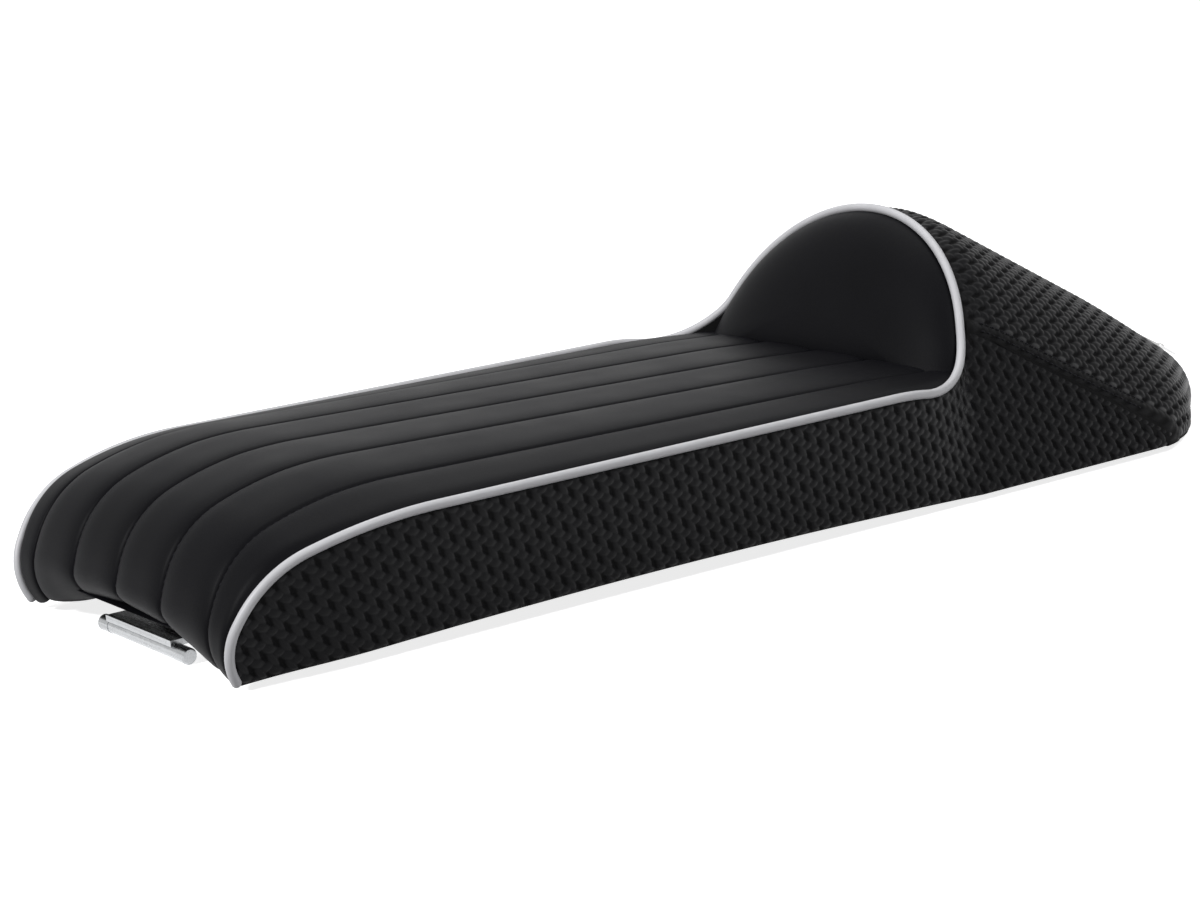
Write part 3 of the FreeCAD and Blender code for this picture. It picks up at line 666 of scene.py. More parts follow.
def build_cushion(sizes):
    """Closed ribbed cushion: the panel's height carried along the side view, over a flat underside."""
    path = top_path()
    rows = cushion_rows(path)[:, None]
    channel, share = channel_shares()
    inner = 2.0 * SEAM_PITCH
    left = np.array([-1.0, -inner, -SEAM_PITCH, 0.0, SEAM_PITCH, inner])[channel]
    right = np.array([-inner, -SEAM_PITCH, 0.0, SEAM_PITCH, inner, 1.0])[channel]
    swell = 1.0 - (2.0 * share - 1.0) ** 2

    def across(half):
        low = np.where(channel == 0, -half, left)
        high = np.where(channel == CHANNELS - 1, half, right)
        return low + (high - low) * share

    guess = across(np.full_like(rows, FRONT_HALF - EDGE_INSET))
    start = lip_h(guess) / LIP_SLANT - 1000.0 * sizes.scallop * swell
    s = np.where(rows < LIP_BLEND, start + (LIP_BLEND - start) * rows / LIP_BLEND, rows)
    point = along(path, s)
    way = heading(path, np.clip(s, 1.0, None))
    point = point + np.minimum(s, 0.0)[..., None] * way
    t, h = point[..., 0] + lip_curl(s, guess), point[..., 1]
    y = across(panel_half(t, h))
    lift = panel_height(y, channel, share, t, h, sizes)
    hem = HEM * (1.0 - quarter(rows / HEM_RUN))
    rear = REAR_SINK * soft((t - REAR_SINK_T) / SINK_RUN)
    outer_t = t - way[..., 1] * (lift - hem - rear)
    outer_h = h + way[..., 0] * (lift - hem - rear)
    edge = np.abs(y) / panel_half(t, h)
    back = lift - PANEL_THICK + hem
    sheet_t = t - way[..., 1] * back
    sheet_h = h + way[..., 0] * back
    floor_t = np.maximum(t, UNDER_T + UNDER_DRIFT * s)
    sunk = soft((h - UNDER_H) / SINK_RUN) * np.where(rows > 0.0, 1.0, 0.0)
    under_t = sheet_t + (floor_t - sheet_t) * sunk
    under_h = sheet_h + (PAN_TOP_H + PAN_CLEAR - sheet_h) * sunk
    under_y = np.sign(y) * edge * (side_half(under_t, under_h) - EDGE_INSET)
    under_y = y + (under_y - y) * sunk
    piece = slab(
        "seat_cushion", place(outer_t, y, outer_h), place(under_t, under_y, under_h),
        finish_of(leatherette), 1e-6,
    )
    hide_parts("top_cover", "seat_foam")


def arch_plane(corners, reaches, grow, spread, steps):
    """Rounded arch in the leaning plane, grown outward by an even distance.

    Each corner moves along its bisector so that both neighbouring sides move by the same distance, and
    each reach grows by that distance times the tangent of half the turn.
    """
    flat = np.array(corners, float)
    ways = unit(np.diff(flat, axis=0))
    sides = np.stack((ways[:, 1], -ways[:, 0]), axis=1)
    dots = (sides[:-1] * sides[1:]).sum(1)
    turns = sides[:-1, 0] * sides[1:, 1] - sides[:-1, 1] * sides[1:, 0]
    moved = flat.copy()
    moved[0] += sides[0] * grow
    moved[-1] += sides[-1] * grow
    moved[1:-1] += (sides[:-1] + sides[1:]) * (grow / (1.0 + dots))[:, None]
    half_turns = np.arccos(np.clip(dots, -1.0, 1.0)) / 2.0
    grown = np.array(reaches) + np.sign(turns) * grow * np.tan(half_turns)
    return rounded(moved * (spread, 1.0), grown, steps)


def arch_corners():
    """Corners of the arch above the base, in the leaning plane, from the left shoulder to the right one."""
    left = [(SHOULDER_HALF, SHOULDER_H / LEAN_COS), (ARCH_HALF, ARCH_H / LEAN_COS)]
    return left + [(-y, q) for y, q in left[::-1]]


def build_bum_stop(sizes):
    """Closed puffed pad: rings drawn in from the arch to one pole, raised by one less the ring's share
    to a power, so that the edge is round and the middle nearly flat."""
    base_q = STOP_BASE_H / LEAN_COS
    base = [(0.0, base_q), (STOP_BASE_HALF, base_q)]
    corners = base + arch_corners() + [(-STOP_BASE_HALF, base_q), (0.0, base_q)]
    side = [STOP_BASE_REACH, SHOULDER_REACH, ARCH_REACH]
    outline = arch_plane(corners, side + side[::-1], -EDGE_INSET, 1.0, 16)
    ring = along(outline, np.linspace(0.0, walked(outline)[-1], 281))
    ring[-1] = ring[0]
    draw = np.sin(np.linspace(np.pi / 2.0, 0.0, 48))[:, None, None]
    pole = np.array([0.0, base_q + POLE_RISE])
    flat = pole + (ring - pole) * draw
    share = draw[..., 0]
    depth = 1000.0 * sizes.puff * (1.0 - share ** 3.2) ** 0.62
    h = flat[..., 1] * LEAN_COS
    y = flat[..., 0]
    front = place(stop_t(h) - depth * LEAN_COS, y, h + depth * np.sin(STOP_LEAN))
    back = place(stop_t(h) + 0.4 * (1.0 - share), y, h)
    piece = slab("bum_stop", front, back, finish_of(leatherette), 2e-6, True)
    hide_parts("backstop_cover", "stop_pad")


def weave(a, b, turn, sizes):
    """Three-way weave: strands along two lattice directions and their difference, each a parabolic back
    lifted by a cosine where it passes over and sunk where it passes under; the highest shows, and a pit
    is left between. Gives 0 to 1 and the height."""
    pitch, rise = 1000.0 * sizes.pitch, 1000.0 * sizes.pitch * WEAVE_RATIO
    u = a * np.cos(turn) + b * np.sin(turn)
    v = b * np.cos(turn) - a * np.sin(turn)
    q = v / (rise * np.sin(WEAVE_LEAN))
    p = (u - q * rise * np.cos(WEAVE_LEAN)) / pitch
    area = pitch * rise * np.sin(WEAVE_LEAN)
    third = np.sqrt(pitch ** 2 + rise ** 2 - 2.0 * pitch * rise * np.cos(WEAVE_LEAN))
    lift, strand, wide = 1000.0 * sizes.lift, 1000.0 * sizes.strand, 500.0 * sizes.width
    height = 0.0
    for line, gap, wave in (
        (q, area / pitch, -np.cos(2.0 * np.pi * p)),
        (p, area / rise, np.cos(2.0 * np.pi * q)),
        (p + q - 0.5, area / third, -np.cos(2.0 * np.pi * q)),
    ):
        off = (line - np.round(line)) * gap / wide
        height = np.maximum(height, lift * (1.0 + wave) + strand * (1.0 - np.abs(off) ** 3))
    height = height - lift
    return np.clip(height / (lift + strand), 0.0, 1.0), height


def rim_h(t):
    """Height of the covers' lower rim: a circle through the nose, the arch's top and its end, then flat."""
    x1, x2, x3 = NOSE[0], RIM_ARCH_T, RIM_ARCH_END_T
    middle = (x1 + x3) / 2.0
    chord = (x3 - x1) / 2.0
    rise = RIM_ARCH_H / (1.0 - ((x2 - middle) / chord) ** 2)
    return np.clip(rise * (1.0 - ((t - middle) / chord) ** 2), 0.0, None)


def seam_t(h):
    """Station of the tail's side seam at a height: down the slope from behind the bum stop."""
    return stop_t(SEAM_H) + EDGE_INSET + (SEAM_H - h) / TAIL_FALL


def toe_half(t):
    """Half width of the covers' plan outline at a station."""
    outline = toe_outline()
    return np.interp(t, outline[:, 0], outline[:, 1])


def side_edges(columns):
    """Upper edge of a side cover, in space, and the rim under it, in matching columns.

    The upper edge walks up the nose beside the piping, along it, up beside the bum stop and down the
    tail's seam; the lower edge follows the rim under it, and fans out at the nose.
    """
    line = piping_line()
    line = line[: len(line) // 2]
    climbed = np.argmax((line[:, 0] > FOOT[0]) & (line[:, 2] > SEAM_H - 5.0))
    line = line[:climbed]
    way = np.gradient(line[:, [0, 2]], axis=0)
    way /= np.linalg.norm(way, axis=1)[:, None] + 1e-9
    line = line + WELT_SIDE * np.stack((way[:, 1], np.full(len(line), 0.25), -way[:, 0]), axis=-1)
    line[0, 2] = 0.0
    seam_h = np.linspace(SEAM_H - 0.5, 0.0, 60)
    seam = np.stack((seam_t(seam_h), cover_half(seam_t(seam_h), seam_h), seam_h), axis=-1)
    upper = np.concatenate((line, seam))
    s = np.linspace(0.0, walked(upper)[-1], columns)
    top = along(upper, s)
    turn = RUN_T + NOSE_REACHES[2]
    run = np.interp(turn, line[:, 0], walked(line))
    fan = np.clip(s / run, 0.0, 1.0) ** 1.33
    low_t = np.where(s < run, top[0, 0] + (turn - top[0, 0]) * fan, top[:, 0])
    low = np.stack((low_t, rim_h(low_t)), axis=-1)
    low[0], low[-1] = top[0, ::2], top[-1, ::2]
    return low, top


def cover_half(t, h):
    """Half width of the side covers: the flared side, held inside the toe's plan outline."""
    return np.minimum(side_half(t, h), toe_half(t))


def build_side_cover(sizes, hand, name, node):
    """One woven side: rows from the upper edge down to the rim, rolled under it and back up inside.

    The outer face stands on the seat's half width, drawn to the piping near its upper edge, plus the
    weave; the loop of rows is closed, and both ends run out to a point.
    """
    low, top = side_edges(SIDE_COLUMNS)
    order = np.arange(SIDE_COLUMNS)
    slim = soft(np.minimum(order, order[::-1]) / 8.0)
    down, flush = np.linspace(1.0, 0.0, SIDE_ROWS), np.zeros(SIDE_ROWS)
    share = np.concatenate((down, np.zeros(5), [0.06, 0.3, 0.6, 1.0]))[:, None]
    roll = np.linspace(0.0, np.pi, 7)[1:-1]
    depth = np.concatenate((flush, 0.5 * (1.0 - np.cos(roll)), np.ones(4)))[:, None] * COVER
    drop = np.concatenate((flush, 0.5 * np.sin(roll), np.zeros(4)))[:, None] * COVER
    flat = low + (top[:, ::2] - low) * share[..., None]
    t, h = flat[..., 0], flat[..., 1]
    shown, height = weave(t, h, sizes.side_turn, sizes)
    gap = np.linalg.norm(top[:, ::2] - low, axis=1)
    to_top = (1.0 - share) * gap
    to_rim = share * gap
    calm = soft(to_top / 3.0) * soft((to_rim + 1.5) / 3.0) * slim
    inner = depth > 0.0
    drawn = (top[:, 1] - cover_half(top[:, 0], top[:, 2])) * (1.0 - soft(to_top / SIDE_DRAWN))
    tuck = TUCK * (1.0 - quarter(to_top / TUCK_RUN))
    out = np.where(inner, 0.0, height * calm - tuck * slim)
    y = cover_half(t, h) + drawn - SIDE_INSET + out - depth * slim
    points = place(t, hand * y, h - drop * slim + 0.2)
    size = points.shape[:2]
    # The relief also sets the woven finish's painted groove shade: where the weave is calmed near the
    # edges, the colour is painted as dark as the gaps.
    piece = make_piece(
        name, points.reshape(-1, 3), grid_quads(*size, wrap=True), finish_of(woven_cover),
        caps=end_caps(*size), fields={"relief": np.where(inner, 0.0, shown * calm)}, weld=1e-7,
    )
    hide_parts(node)


def tail_rings(count):
    """The tail's arch near the piping and far beyond the toe, at matching places from seam to seam."""
    corners = [(SHOULDER_HALF, 0.0)] + arch_corners() + [(-SHOULDER_HALF, 0.0)]
    reaches = [SHOULDER_REACH, ARCH_REACH, ARCH_REACH, SHOULDER_REACH]
    near_shift, far_shift = EDGE_INSET + TAIL_SWELL_RUN, FAR_T - STOP_T
    rings = []
    for shift in (near_shift, far_shift):
        spread = 1.0 + (RIM_HALF / SEAM_HALF - 1.0) * shift * TAIL_FALL / SEAM_H
        rings.append(arch_plane(corners, reaches, TAIL_SWELL, spread, 24))
    first = rings[0]
    way = walked(first)
    seam_q = (SEAM_H + 1.17) / LEAN_COS
    half = len(first) // 2
    begin = np.interp(seam_q, first[:half, 1], way[:half])
    s = np.linspace(begin, way[-1] - begin, count)
    mark = np.interp(s, way, np.arange(len(first)))
    whole = np.arange(len(first))
    near, far = [
        np.stack([np.interp(mark, whole, ring[:, k]) for k in (0, 1)], axis=-1) for ring in rings
    ]
    return s - way[-1] / 2.0, near, far, near_shift, far_shift


def toe_outline():
    """Left half of the covers' plan outline, back along the side, round the corner and in to the tip."""
    ahead = [(STOP_T - 450.0, RIM_HALF + 40.0), (STOP_T, RIM_HALF + 40.0)]
    side = [(STOP_T, RIM_HALF), (TOE_CORNER_T, RIM_HALF)]
    plan = side + [(TOE_TIP_T, 0.0), (TOE_CORNER_T, -RIM_HALF)]
    outline = rounded(plan, [TOE_CORNER_REACH, TOE_TIP_REACH], 24)
    return np.concatenate((ahead, outline[1:][outline[1:, 1] >= -1e-6]))


def toe_t(y):
    """Station of the toe's plan outline at a side distance."""
    outline = toe_outline()[2:]
    return np.interp(np.abs(y), outline[::-1, 1], outline[::-1, 0])


def tail_surface(sizes):
    """The woven slope-back as a grid from seam to seam and from the piping down to the rim.

    Straight lines run from the swelling arch down the slope, raised by a bell-shaped crest behind the
    piping, bent down at the toe by a parabola and dropped to the rim. The weave stands out of it, calms
    at the edges, and a felled fold covers each seam.
    """
    across, near, far, near_shift, far_shift = tail_rings(TAIL_COLUMNS)
    q = np.stack((near[:, 1], far[:, 1]))
    shifts = np.array([[near_shift], [far_shift]])
    ends_t = stop_t(q * LEAN_COS) + shifts
    ends_h = q * LEAN_COS - TAIL_FALL * shifts
    ends_y = np.stack((near[:, 0], far[:, 0]))
    run_t, run_y, run_h = [ends[1] - ends[0] for ends in (ends_t, ends_y, ends_h)]
    share = np.full(len(across), 0.6)
    for _ in range(8):
        share = (toe_t(ends_y[0] + run_y * share) - ends_t[0]) / run_t
    share = np.minimum(share, (0.4 - ends_h[0]) / run_h)
    toe_h = ends_h[0] + run_h * share
    length = run_t * share
    start = -TAIL_SWELL_RUN
    bend = np.minimum(TOE_BEND, 0.92 * toe_h)
    straight_end = length - BEND_SPREAD * bend - start
    straight = np.linspace(0.0, 1.0, TAIL_ROWS)[:, None] * straight_end + start
    f = np.linspace(0.0, 1.0, BEND_ROWS + 1)[1:, None]
    bend_run = length - BEND_SPREAD * bend * (1.0 - f) ** 2
    wall_down = bend + (toe_h - bend) * np.linspace(0.0, 1.0, WALL_ROWS + 1)[1:, None]
    run = np.concatenate((straight, bend_run, np.repeat(length[None], WALL_ROWS, 0)))
    down = np.concatenate((np.zeros_like(straight), bend * f ** 2, wall_down))
    part = run / run_t
    t = ends_t[0] + run
    y = ends_y[0] + run_y * part
    h = ends_h[0] + run_h * part - down
    begun = np.clip((run - start) / TAIL_SWELL_RUN, 0.0, 1.0)
    tangent = np.gradient(near, axis=0)
    normal = unit(np.stack((tangent[:, 1], -tangent[:, 0]), axis=-1))
    step_t, step_h = [np.diff(values, axis=0, prepend=values[:1]) for values in (t, h)]
    b = np.cumsum(np.hypot(step_t, step_h), axis=0)
    shown, height = weave(np.broadcast_to(across, t.shape), b, sizes.tail_turn, sizes)
    to_seam = np.abs(across[0]) - np.abs(across)
    fold = soft((FELL_WIDTH - to_seam) / FELL_RUN)
    calm = soft((run - start) / 4.0) * soft(h / 3.0) * (1.0 - 0.45 * fold)
    tuck = TUCK * (1.0 - quarter((run - start) / TUCK_RUN))
    crest = TAIL_CREST * soft((to_seam - 6.0) / 60.0) * soft((run - start) / 12.0)
    crest = crest * (1.0 - soft((t - CREST_END_T) / CREST_FADE))
    out = height * calm - 1.1 - TAIL_SWELL * (1.0 - begun) ** 2 - tuck + crest + 0.5 * fold * begun
    facing = 1.0 - np.clip(down / 8.0, 0.0, 1.0)
    slope = np.arctan(TAIL_FALL)
    t = t + out * (normal[:, 1] * np.sin(slope) * facing + (1.0 - facing) * 0.8)
    y = y + out * normal[:, 0]
    h = h + out * normal[:, 1] * np.cos(slope) * facing
    meet = soft((11.0 - to_seam) / 9.0) * np.ones_like(t)
    side = np.sign(y) * (cover_half(t, h) - 0.2 + height * calm * 0.7 + 0.5 * fold)
    y = y + (side - y) * meet
    return t, y, h, shown * calm, to_seam


def build_tail(sizes):
    """Closed slope-back: the woven surface, rolled under the rim and led back over the base."""
    t, y, h, shown, _ = tail_surface(sizes)
    roll = np.linspace(0.0, np.pi, 6)[1:, None]
    inside = 0.5 * COVER * (1.0 - np.cos(roll))
    hem_t = t[-1] - inside
    hem_h = h[-1] - 0.5 * COVER * np.sin(roll)
    hem_y = y[-1] * (1.0 - inside / RIM_HALF)
    back = np.concatenate(([0.012, 0.05], np.linspace(0.12, 1.0, 9)))[:, None]
    floor_t = hem_t[-1] + (HUMP_FRONT_T - hem_t[-1]) * back
    floor_h = np.minimum(PAN_TOP_H + PAN_CLEAR, hem_h[-1] + 0.53 * (hem_t[-1] - floor_t))
    floor_y = hem_y[-1] * (1.0 - 0.12 * soft(back / 0.1))
    parts = ((t, hem_t, floor_t), (y, hem_y, floor_y), (h, hem_h, floor_h))
    points = place(*[np.concatenate(grids) for grids in parts])
    size = points.shape[:2]
    # The relief also sets the woven finish's painted groove shade: where the weave is calmed near the edges
    # and the seams, and on the hem and floor rows, the colour is painted as dark as the gaps.
    relief = np.zeros(size)
    relief[: len(t)] = shown
    piece = make_piece(
        "tail_cover_woven", points.reshape(-1, 3), grid_quads(*size, wrap=True),
        finish_of(woven_cover), caps=end_caps(*size), fields={"relief": relief},
    )
    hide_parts("tail_cover", "hump_foam")


def piping_line():
    """The welt's line in space: up both sides of the nose, along the seat and over the bum stop."""
    left = [(t, side_half(t, h), h) for t, h in (NOSE, CHIN, BROW, (RUN_T, PIPING_H))]
    left += [(TURN_T, TOP_HALF, PIPING_H), (FOOT[0], FOOT_HALF, FOOT[1])]
    left += [(stop_t(h), y, h) for y, h in ((SHOULDER_HALF, SHOULDER_H), (ARCH_HALF, ARCH_H))]
    right = [(t, -y, h) for t, y, h in reversed(left)]
    side = NOSE_REACHES + [TURN_REACH, FOOT_REACH, SHOULDER_REACH, ARCH_REACH]
    return rounded(left + right, side + side[::-1], 24)


def build_piping(sizes):
    """Round welt: a circle carried along the line, square to it, with rounded ends."""
    line = piping_line()
    total = walked(line)[-1]
    radius = 1000.0 * sizes.radius
    cap = radius * (1.0 - np.cos(np.linspace(0.02, np.pi / 2.0, 7)))
    s = np.concatenate((cap, np.linspace(radius, total - radius, 760)[1:-1], total - cap[::-1]))
    wide = radius * quarter(np.minimum(s, total - s) / radius)
    point, way = along(line, s), heading(line, np.clip(s, 1.0, total - 1.0))
    side = unit(np.cross(way, np.array([0.3, 0.0, 0.95])))
    other = np.cross(way, side)
    angle = np.linspace(0.0, 2.0 * np.pi, 21)[:-1, None, None]
    ring = point + wide[:, None] * (np.cos(angle) * side + np.sin(angle) * other)
    size = ring.shape[:2]
    points = place(ring[..., 0], ring[..., 1], ring[..., 2]).reshape(-1, 3)
    piece = make_piece(
        "piping_welt", points, grid_quads(*size, wrap=True), finish_of(piping_vinyl),
        caps=end_caps(*size),
    )
    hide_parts("piping")


def stitch_points(centre, way, out, sizes):
    """Rings of small stitches: each a short bar, thick in the middle, its ends bent into the cover."""
    length, thick = 1000.0 * sizes.stitch_length, 1000.0 * sizes.thread
    x = np.array([-0.5, -0.28, 0.28, 0.5])
    girth = np.array([0.35, 1.0, 1.0, 0.35]) * thick
    sink = np.array([1.3, 0.0, 0.0, 1.3]) * thick
    angle = np.linspace(0.0, 2.0 * np.pi, 6)[:-1]
    side = np.cross(out, way)
    spine = centre[:, None] + way[:, None] * (x * length)[:, None] - out[:, None] * sink[:, None]
    around = np.cos(angle)[:, None] * side[:, None] + np.sin(angle)[:, None] * out[:, None]
    return spine[:, :, None] + around[:, None] * girth[:, None, None]


def top_seam_stitches(cushion, trim):
    """Stitches in the five seams of the top panel, lying at the bottom of each fold."""
    path = top_path()
    channel, share = np.array([1]), np.array([0.0])
    parts = []
    for seam in np.arange(-2, 3) * SEAM_PITCH:
        begin = float(lip_h(seam)) / LIP_SLANT + 2.5
        s = np.arange(begin, walked(path)[-1] - 24.0, 1000.0 * trim.stitch_pitch)
        point, way = along(path, s), heading(path, s)
        t, h = point[:, 0], point[:, 1]
        lift = panel_height(np.array(seam), channel, share, t, h, cushion) + 0.4
        level = np.zeros(len(s))
        out = np.stack((-way[:, 1], level, way[:, 0]), -1)
        centre = np.stack((t + lip_curl(s, seam), level + seam, h), -1) + out * lift[:, None]
        parts.append(stitch_points(centre, np.stack((way[:, 0], level, way[:, 1]), -1), out, trim))
    return parts


def felled_seam_stitches(covers, trim):
    """Two rows of stitches along the fold over each of the tail's seams, on the fold's smoothed surface."""
    t, y, h, _, to_seam = tail_surface(covers)
    grid = np.stack((t, y, h), axis=-1)[: TAIL_ROWS - 12]
    even = np.ones(15) / 15.0
    parts = []
    for inset in FELL_ROWS:
        column = int(np.argmin(np.abs(to_seam[:100] - inset)))
        for k in (column, len(to_seam) - 1 - column):
            path, left, right = [
                np.stack([np.convolve(grid[:, k + step, axis], even, "valid") for axis in range(3)], -1)
                for step in (0, -3, 3)
            ]
            s = np.arange(6.0, walked(path)[-1] - 4.0, 1000.0 * trim.stitch_pitch)
            way = heading(path, s, 2.0)
            out = unit(np.cross(along(right, s) - along(left, s), way))
            out *= np.sign((out * np.array((0.0, np.sign(path[0, 1]), 1.0))).sum(-1, keepdims=True))
            parts.append(stitch_points(along(path, s) + 0.5 * out, way, out, trim))
    return parts


def build_stitching(cushion, covers, trim):
    """All stitches as one piece: each a short round bar of four rings of five points with closed ends."""
    points = np.concatenate(top_seam_stitches(cushion, trim) + felled_seam_stitches(covers, trim))
    flat = points.transpose(0, 2, 1, 3).reshape(-1, 3)
    first = (np.arange(len(points)) * 20)[:, None]
    quads = (grid_quads(5, 4, wrap=True)[None] + first[..., None]).reshape(-1, 4)
    ends = np.arange(5)[None] * 4 + first
    spots = place(flat[:, 0], flat[:, 1], flat[:, 2])
    make_piece(
        "seam_stitches", spots, quads, finish_of(sewing_thread),
        caps=list(ends) + list(ends + 3),
    )


def dress(node, finish):
    """Gives a CAD node its finish."""
    mesh = NODES[node].data
    mesh.materials.clear()
    mesh.materials.append(finish)


class SEAT_OT_cushion(bpy.types.Operator):
    """Build the ribbed cushion"""

    bl_idname = "seat.cushion"
    bl_label = "Ribbed cushion"

    def execute(self, context):
        build_cushion(context.scene.seat_cushion)
        return {"FINISHED"}


class SEAT_OT_bum_stop(bpy.types.Operator):
    """Build the padded bum stop"""

    bl_idname = "seat.bum_stop"
    bl_label = "Bum stop"

    def execute(self, context):
        build_bum_stop(context.scene.seat_cushion)
        return {"FINISHED"}


class SEAT_OT_side_covers(bpy.types.Operator):
    """Build both woven side covers"""

    bl_idname = "seat.side_covers"
    bl_label = "Side covers"

    def execute(self, context):
        sizes = context.scene.seat_covers
        build_side_cover(sizes, 1.0, "side_cover_woven_left", "side_cover_left")
        build_side_cover(sizes, -1.0, "side_cover_woven_right", "side_cover_right")
        return {"FINISHED"}


class SEAT_OT_tail(bpy.types.Operator):
    """Build the woven slope-back tail"""

    bl_idname = "seat.tail"
    bl_label = "Slope-back tail"

    def execute(self, context):
        build_tail(context.scene.seat_covers)
        return {"FINISHED"}


class SEAT_OT_trim(bpy.types.Operator):
    """Build the piping and the stitching"""

    bl_idname = "seat.trim"
    bl_label = "Piping and stitching"

    def execute(self, context):
        build_piping(context.scene.seat_trim)
        build_stitching(context.scene.seat_cushion, context.scene.seat_covers, context.scene.seat_trim)
        return {"FINISHED"}


class SEAT_OT_metalwork(bpy.types.Operator):
    """Give the base, hinge, buffers and badge their finishes"""

    bl_idname = "seat.metalwork"
    bl_label = "Base, hinge, buffers and badge"

    def execute(self, context):
        dress("seat_pan", finish_of(base_paint))
        for node in ("hinge_pin", "hinge_plate", "hinge_bolts", "hinge_nuts"):
            dress(node, finish_of(zinc_plate))
        for end in ("front_left", "front_right", "rear_left", "rear_right"):
            dress("buffer_" + end, finish_of(moulded_rubber))
        for node in ("badge_plate", "badge_rivets"):
            dress(node, finish_of(brushed_badge))
        return {"FINISHED"}


def aim(obj, spot, target):
    """Puts a lamp at a spot and turns it toward a target."""
    obj.location = spot
    back = -unit(np.array(target, float) - np.array(spot, float))
    right = unit(np.cross((0.0, 0.0, 1.0), back))
    up = np.cross(back, right)
    obj.rotation_euler = Matrix(np.stack((right, up, back), axis=1).tolist()).to_euler()


def softbox(name, spot, target, width, height, power):
    """A rectangular soft light."""
    lamp = bpy.data.lights.new(name, "AREA")
    lamp.shape = "RECTANGLE"
    lamp.size = width
    lamp.size_y = height
    lamp.energy = power
    box = bpy.data.objects.new(name, lamp)
    bpy.context.scene.collection.objects.link(box)
    aim(box, spot, target)


def sees_background(recipe):
    """1 for rays that see the background: from the camera, by a reflection or through glass."""
    rays = ("Is Camera Ray", "Is Glossy Ray", "Is Transmission Ray")
    camera, glossy, through = [recipe.add("ShaderNodeLightPath", out=ray) for ray in rays]
    return camera + glossy + through


def studio_floor(r, colours):
    """Pale floor with a glow for the rays that see it, so that it is white away from the shadow."""
    seen = sees_background(r)
    far = r.add("ShaderNodeVectorMath", {"operation": "LENGTH"}, {0: r.place()}, out=1)
    pale = r.add("ShaderNodeBsdfDiffuse", {}, {"Color": (*colours.floor, 1.0)})
    dull = r.add("ShaderNodeBsdfDiffuse", {}, {"Color": (*shade(colours.floor, 0.35), 1.0)})
    plain = r.add("ShaderNodeMixShader", {}, {0: seen, 1: dull, 2: pale})
    tone = r.ramp(far * 0.25, 0.2, 0.6, (0.80, 0.80, 0.80), (1.0, 1.0, 1.0))
    glow = r.add("ShaderNodeEmission", {}, {"Color": tone, "Strength": 1.0})
    none = r.add("ShaderNodeEmission", {}, {"Color": (0.0, 0.0, 0.0, 1.0), "Strength": 0.0})
    shown = r.add("ShaderNodeMixShader", {}, {0: seen, 1: none, 2: glow})
    both = r.add("ShaderNodeAddShader", {}, {0: plain, 1: shown})
    r.add("ShaderNodeOutputMaterial", {}, {"Surface": both})
    return r.owner


def studio_world(light):
    """White for the rays that see the background, and an even light for the rest."""
    r = Recipe(bpy.data.worlds.new("studio"))
    lit = r.add("ShaderNodeBackground", {}, {"Color": (1.0, 1.0, 1.0, 1.0), "Strength": light})
    white = r.add("ShaderNodeBackground", {}, {"Color": (1.0, 1.0, 1.0, 1.0), "Strength": 1.0})
    mixed = r.add("ShaderNodeMixShader", {}, {0: sees_background(r), 1: lit, 2: white})
    r.add("ShaderNodeOutputWorld", {}, {"Surface": mixed})
    bpy.context.scene.world = r.owner


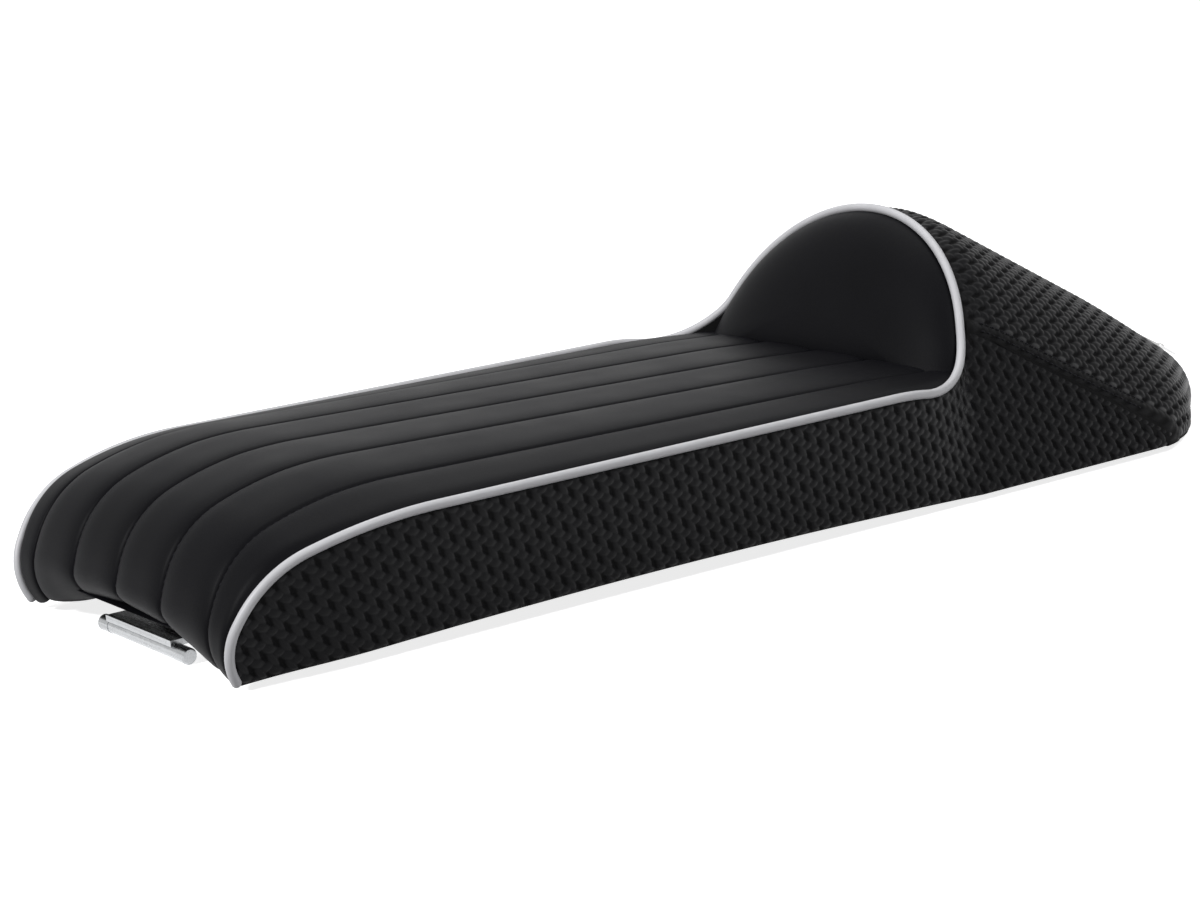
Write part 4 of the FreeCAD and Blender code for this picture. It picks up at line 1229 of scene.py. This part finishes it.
class SEAT_OT_stage(bpy.types.Operator):
    """Build the floor, the lights and the camera"""

    bl_idname = "seat.stage"
    bl_label = "Stage"

    def execute(self, context):
        scene = context.scene
        scene.view_settings.view_transform = "Standard"
        mesh = bpy.data.meshes.new("floor")
        ways = ((-1, -1), (1, -1), (1, 1), (-1, 1))
        corners = [(x * FLOOR_REACH, y * FLOOR_REACH, FLOOR_Z) for x, y in ways]
        mesh.from_pydata(corners, [], [(0, 1, 2, 3)])
        mesh.materials.append(finish_of(studio_floor))
        floor = bpy.data.objects.new("floor", mesh)
        scene.collection.objects.link(floor)
        studio_world(WORLD_LIGHT)
        for lamp in LAMPS:
            softbox(*lamp)
        lens = bpy.data.cameras.new("photo_camera")
        lens.lens = LENS_MM
        lens.sensor_width = SENSOR_MM
        lens.sensor_fit = "HORIZONTAL"
        lens.clip_end = 50.0
        camera = bpy.data.objects.new("photo_camera", lens)
        scene.collection.objects.link(camera)
        turn, tilt = np.cos(CAMERA_ROLL), np.sin(CAMERA_ROLL)
        right = CAMERA_LEVEL * turn + CAMERA_DOWN * tilt
        below = CAMERA_DOWN * turn - CAMERA_LEVEL * tilt
        back = np.cross(right, -below)
        turned = Matrix(np.stack((right, -below, back), axis=1).tolist()).to_4x4()
        turned.translation = CAMERA_SPOT
        camera.matrix_world = turned
        scene.camera = camera
        return {"FINISHED"}


class SEAT_PT_panel(bpy.types.Panel):
    """Lists the seat's pieces"""

    bl_idname = "SEAT_PT_panel"
    bl_label = "Scooter seat"
    bl_space_type = "VIEW_3D"
    bl_region_type = "UI"
    bl_category = "Seat"

    def draw(self, context):
        for operator in OPERATORS:
            self.layout.operator(operator.bl_idname)
        for group in GROUPS:
            box = self.layout.box()
            values = getattr(context.scene, group)
            for key in values.__annotations__:
                box.prop(values, key)


GROUPS = {
    "seat_cushion": SeatCushionSizes,
    "seat_covers": SeatCoverSizes,
    "seat_trim": SeatTrimSizes,
    "seat_colours": SeatColours,
}
OPERATORS = (
    SEAT_OT_stage, SEAT_OT_cushion, SEAT_OT_bum_stop, SEAT_OT_side_covers, SEAT_OT_tail,
    SEAT_OT_trim, SEAT_OT_metalwork,
)


def register():
    for cls in (*GROUPS.values(), *OPERATORS, SEAT_PT_panel):
        bpy.utils.register_class(cls)
    for name, group in GROUPS.items():
        setattr(bpy.types.Scene, name, bpy.props.PointerProperty(type=group))


def unregister():
    for name in GROUPS:
        delattr(bpy.types.Scene, name)
    for cls in reversed((*GROUPS.values(), *OPERATORS, SEAT_PT_panel)):
        bpy.utils.unregister_class(cls)


def main():
    register()
    for operator in OPERATORS:
        group, name = operator.bl_idname.split(".")
        getattr(getattr(bpy.ops, group), name)()


if __name__ == "__main__":
    main()
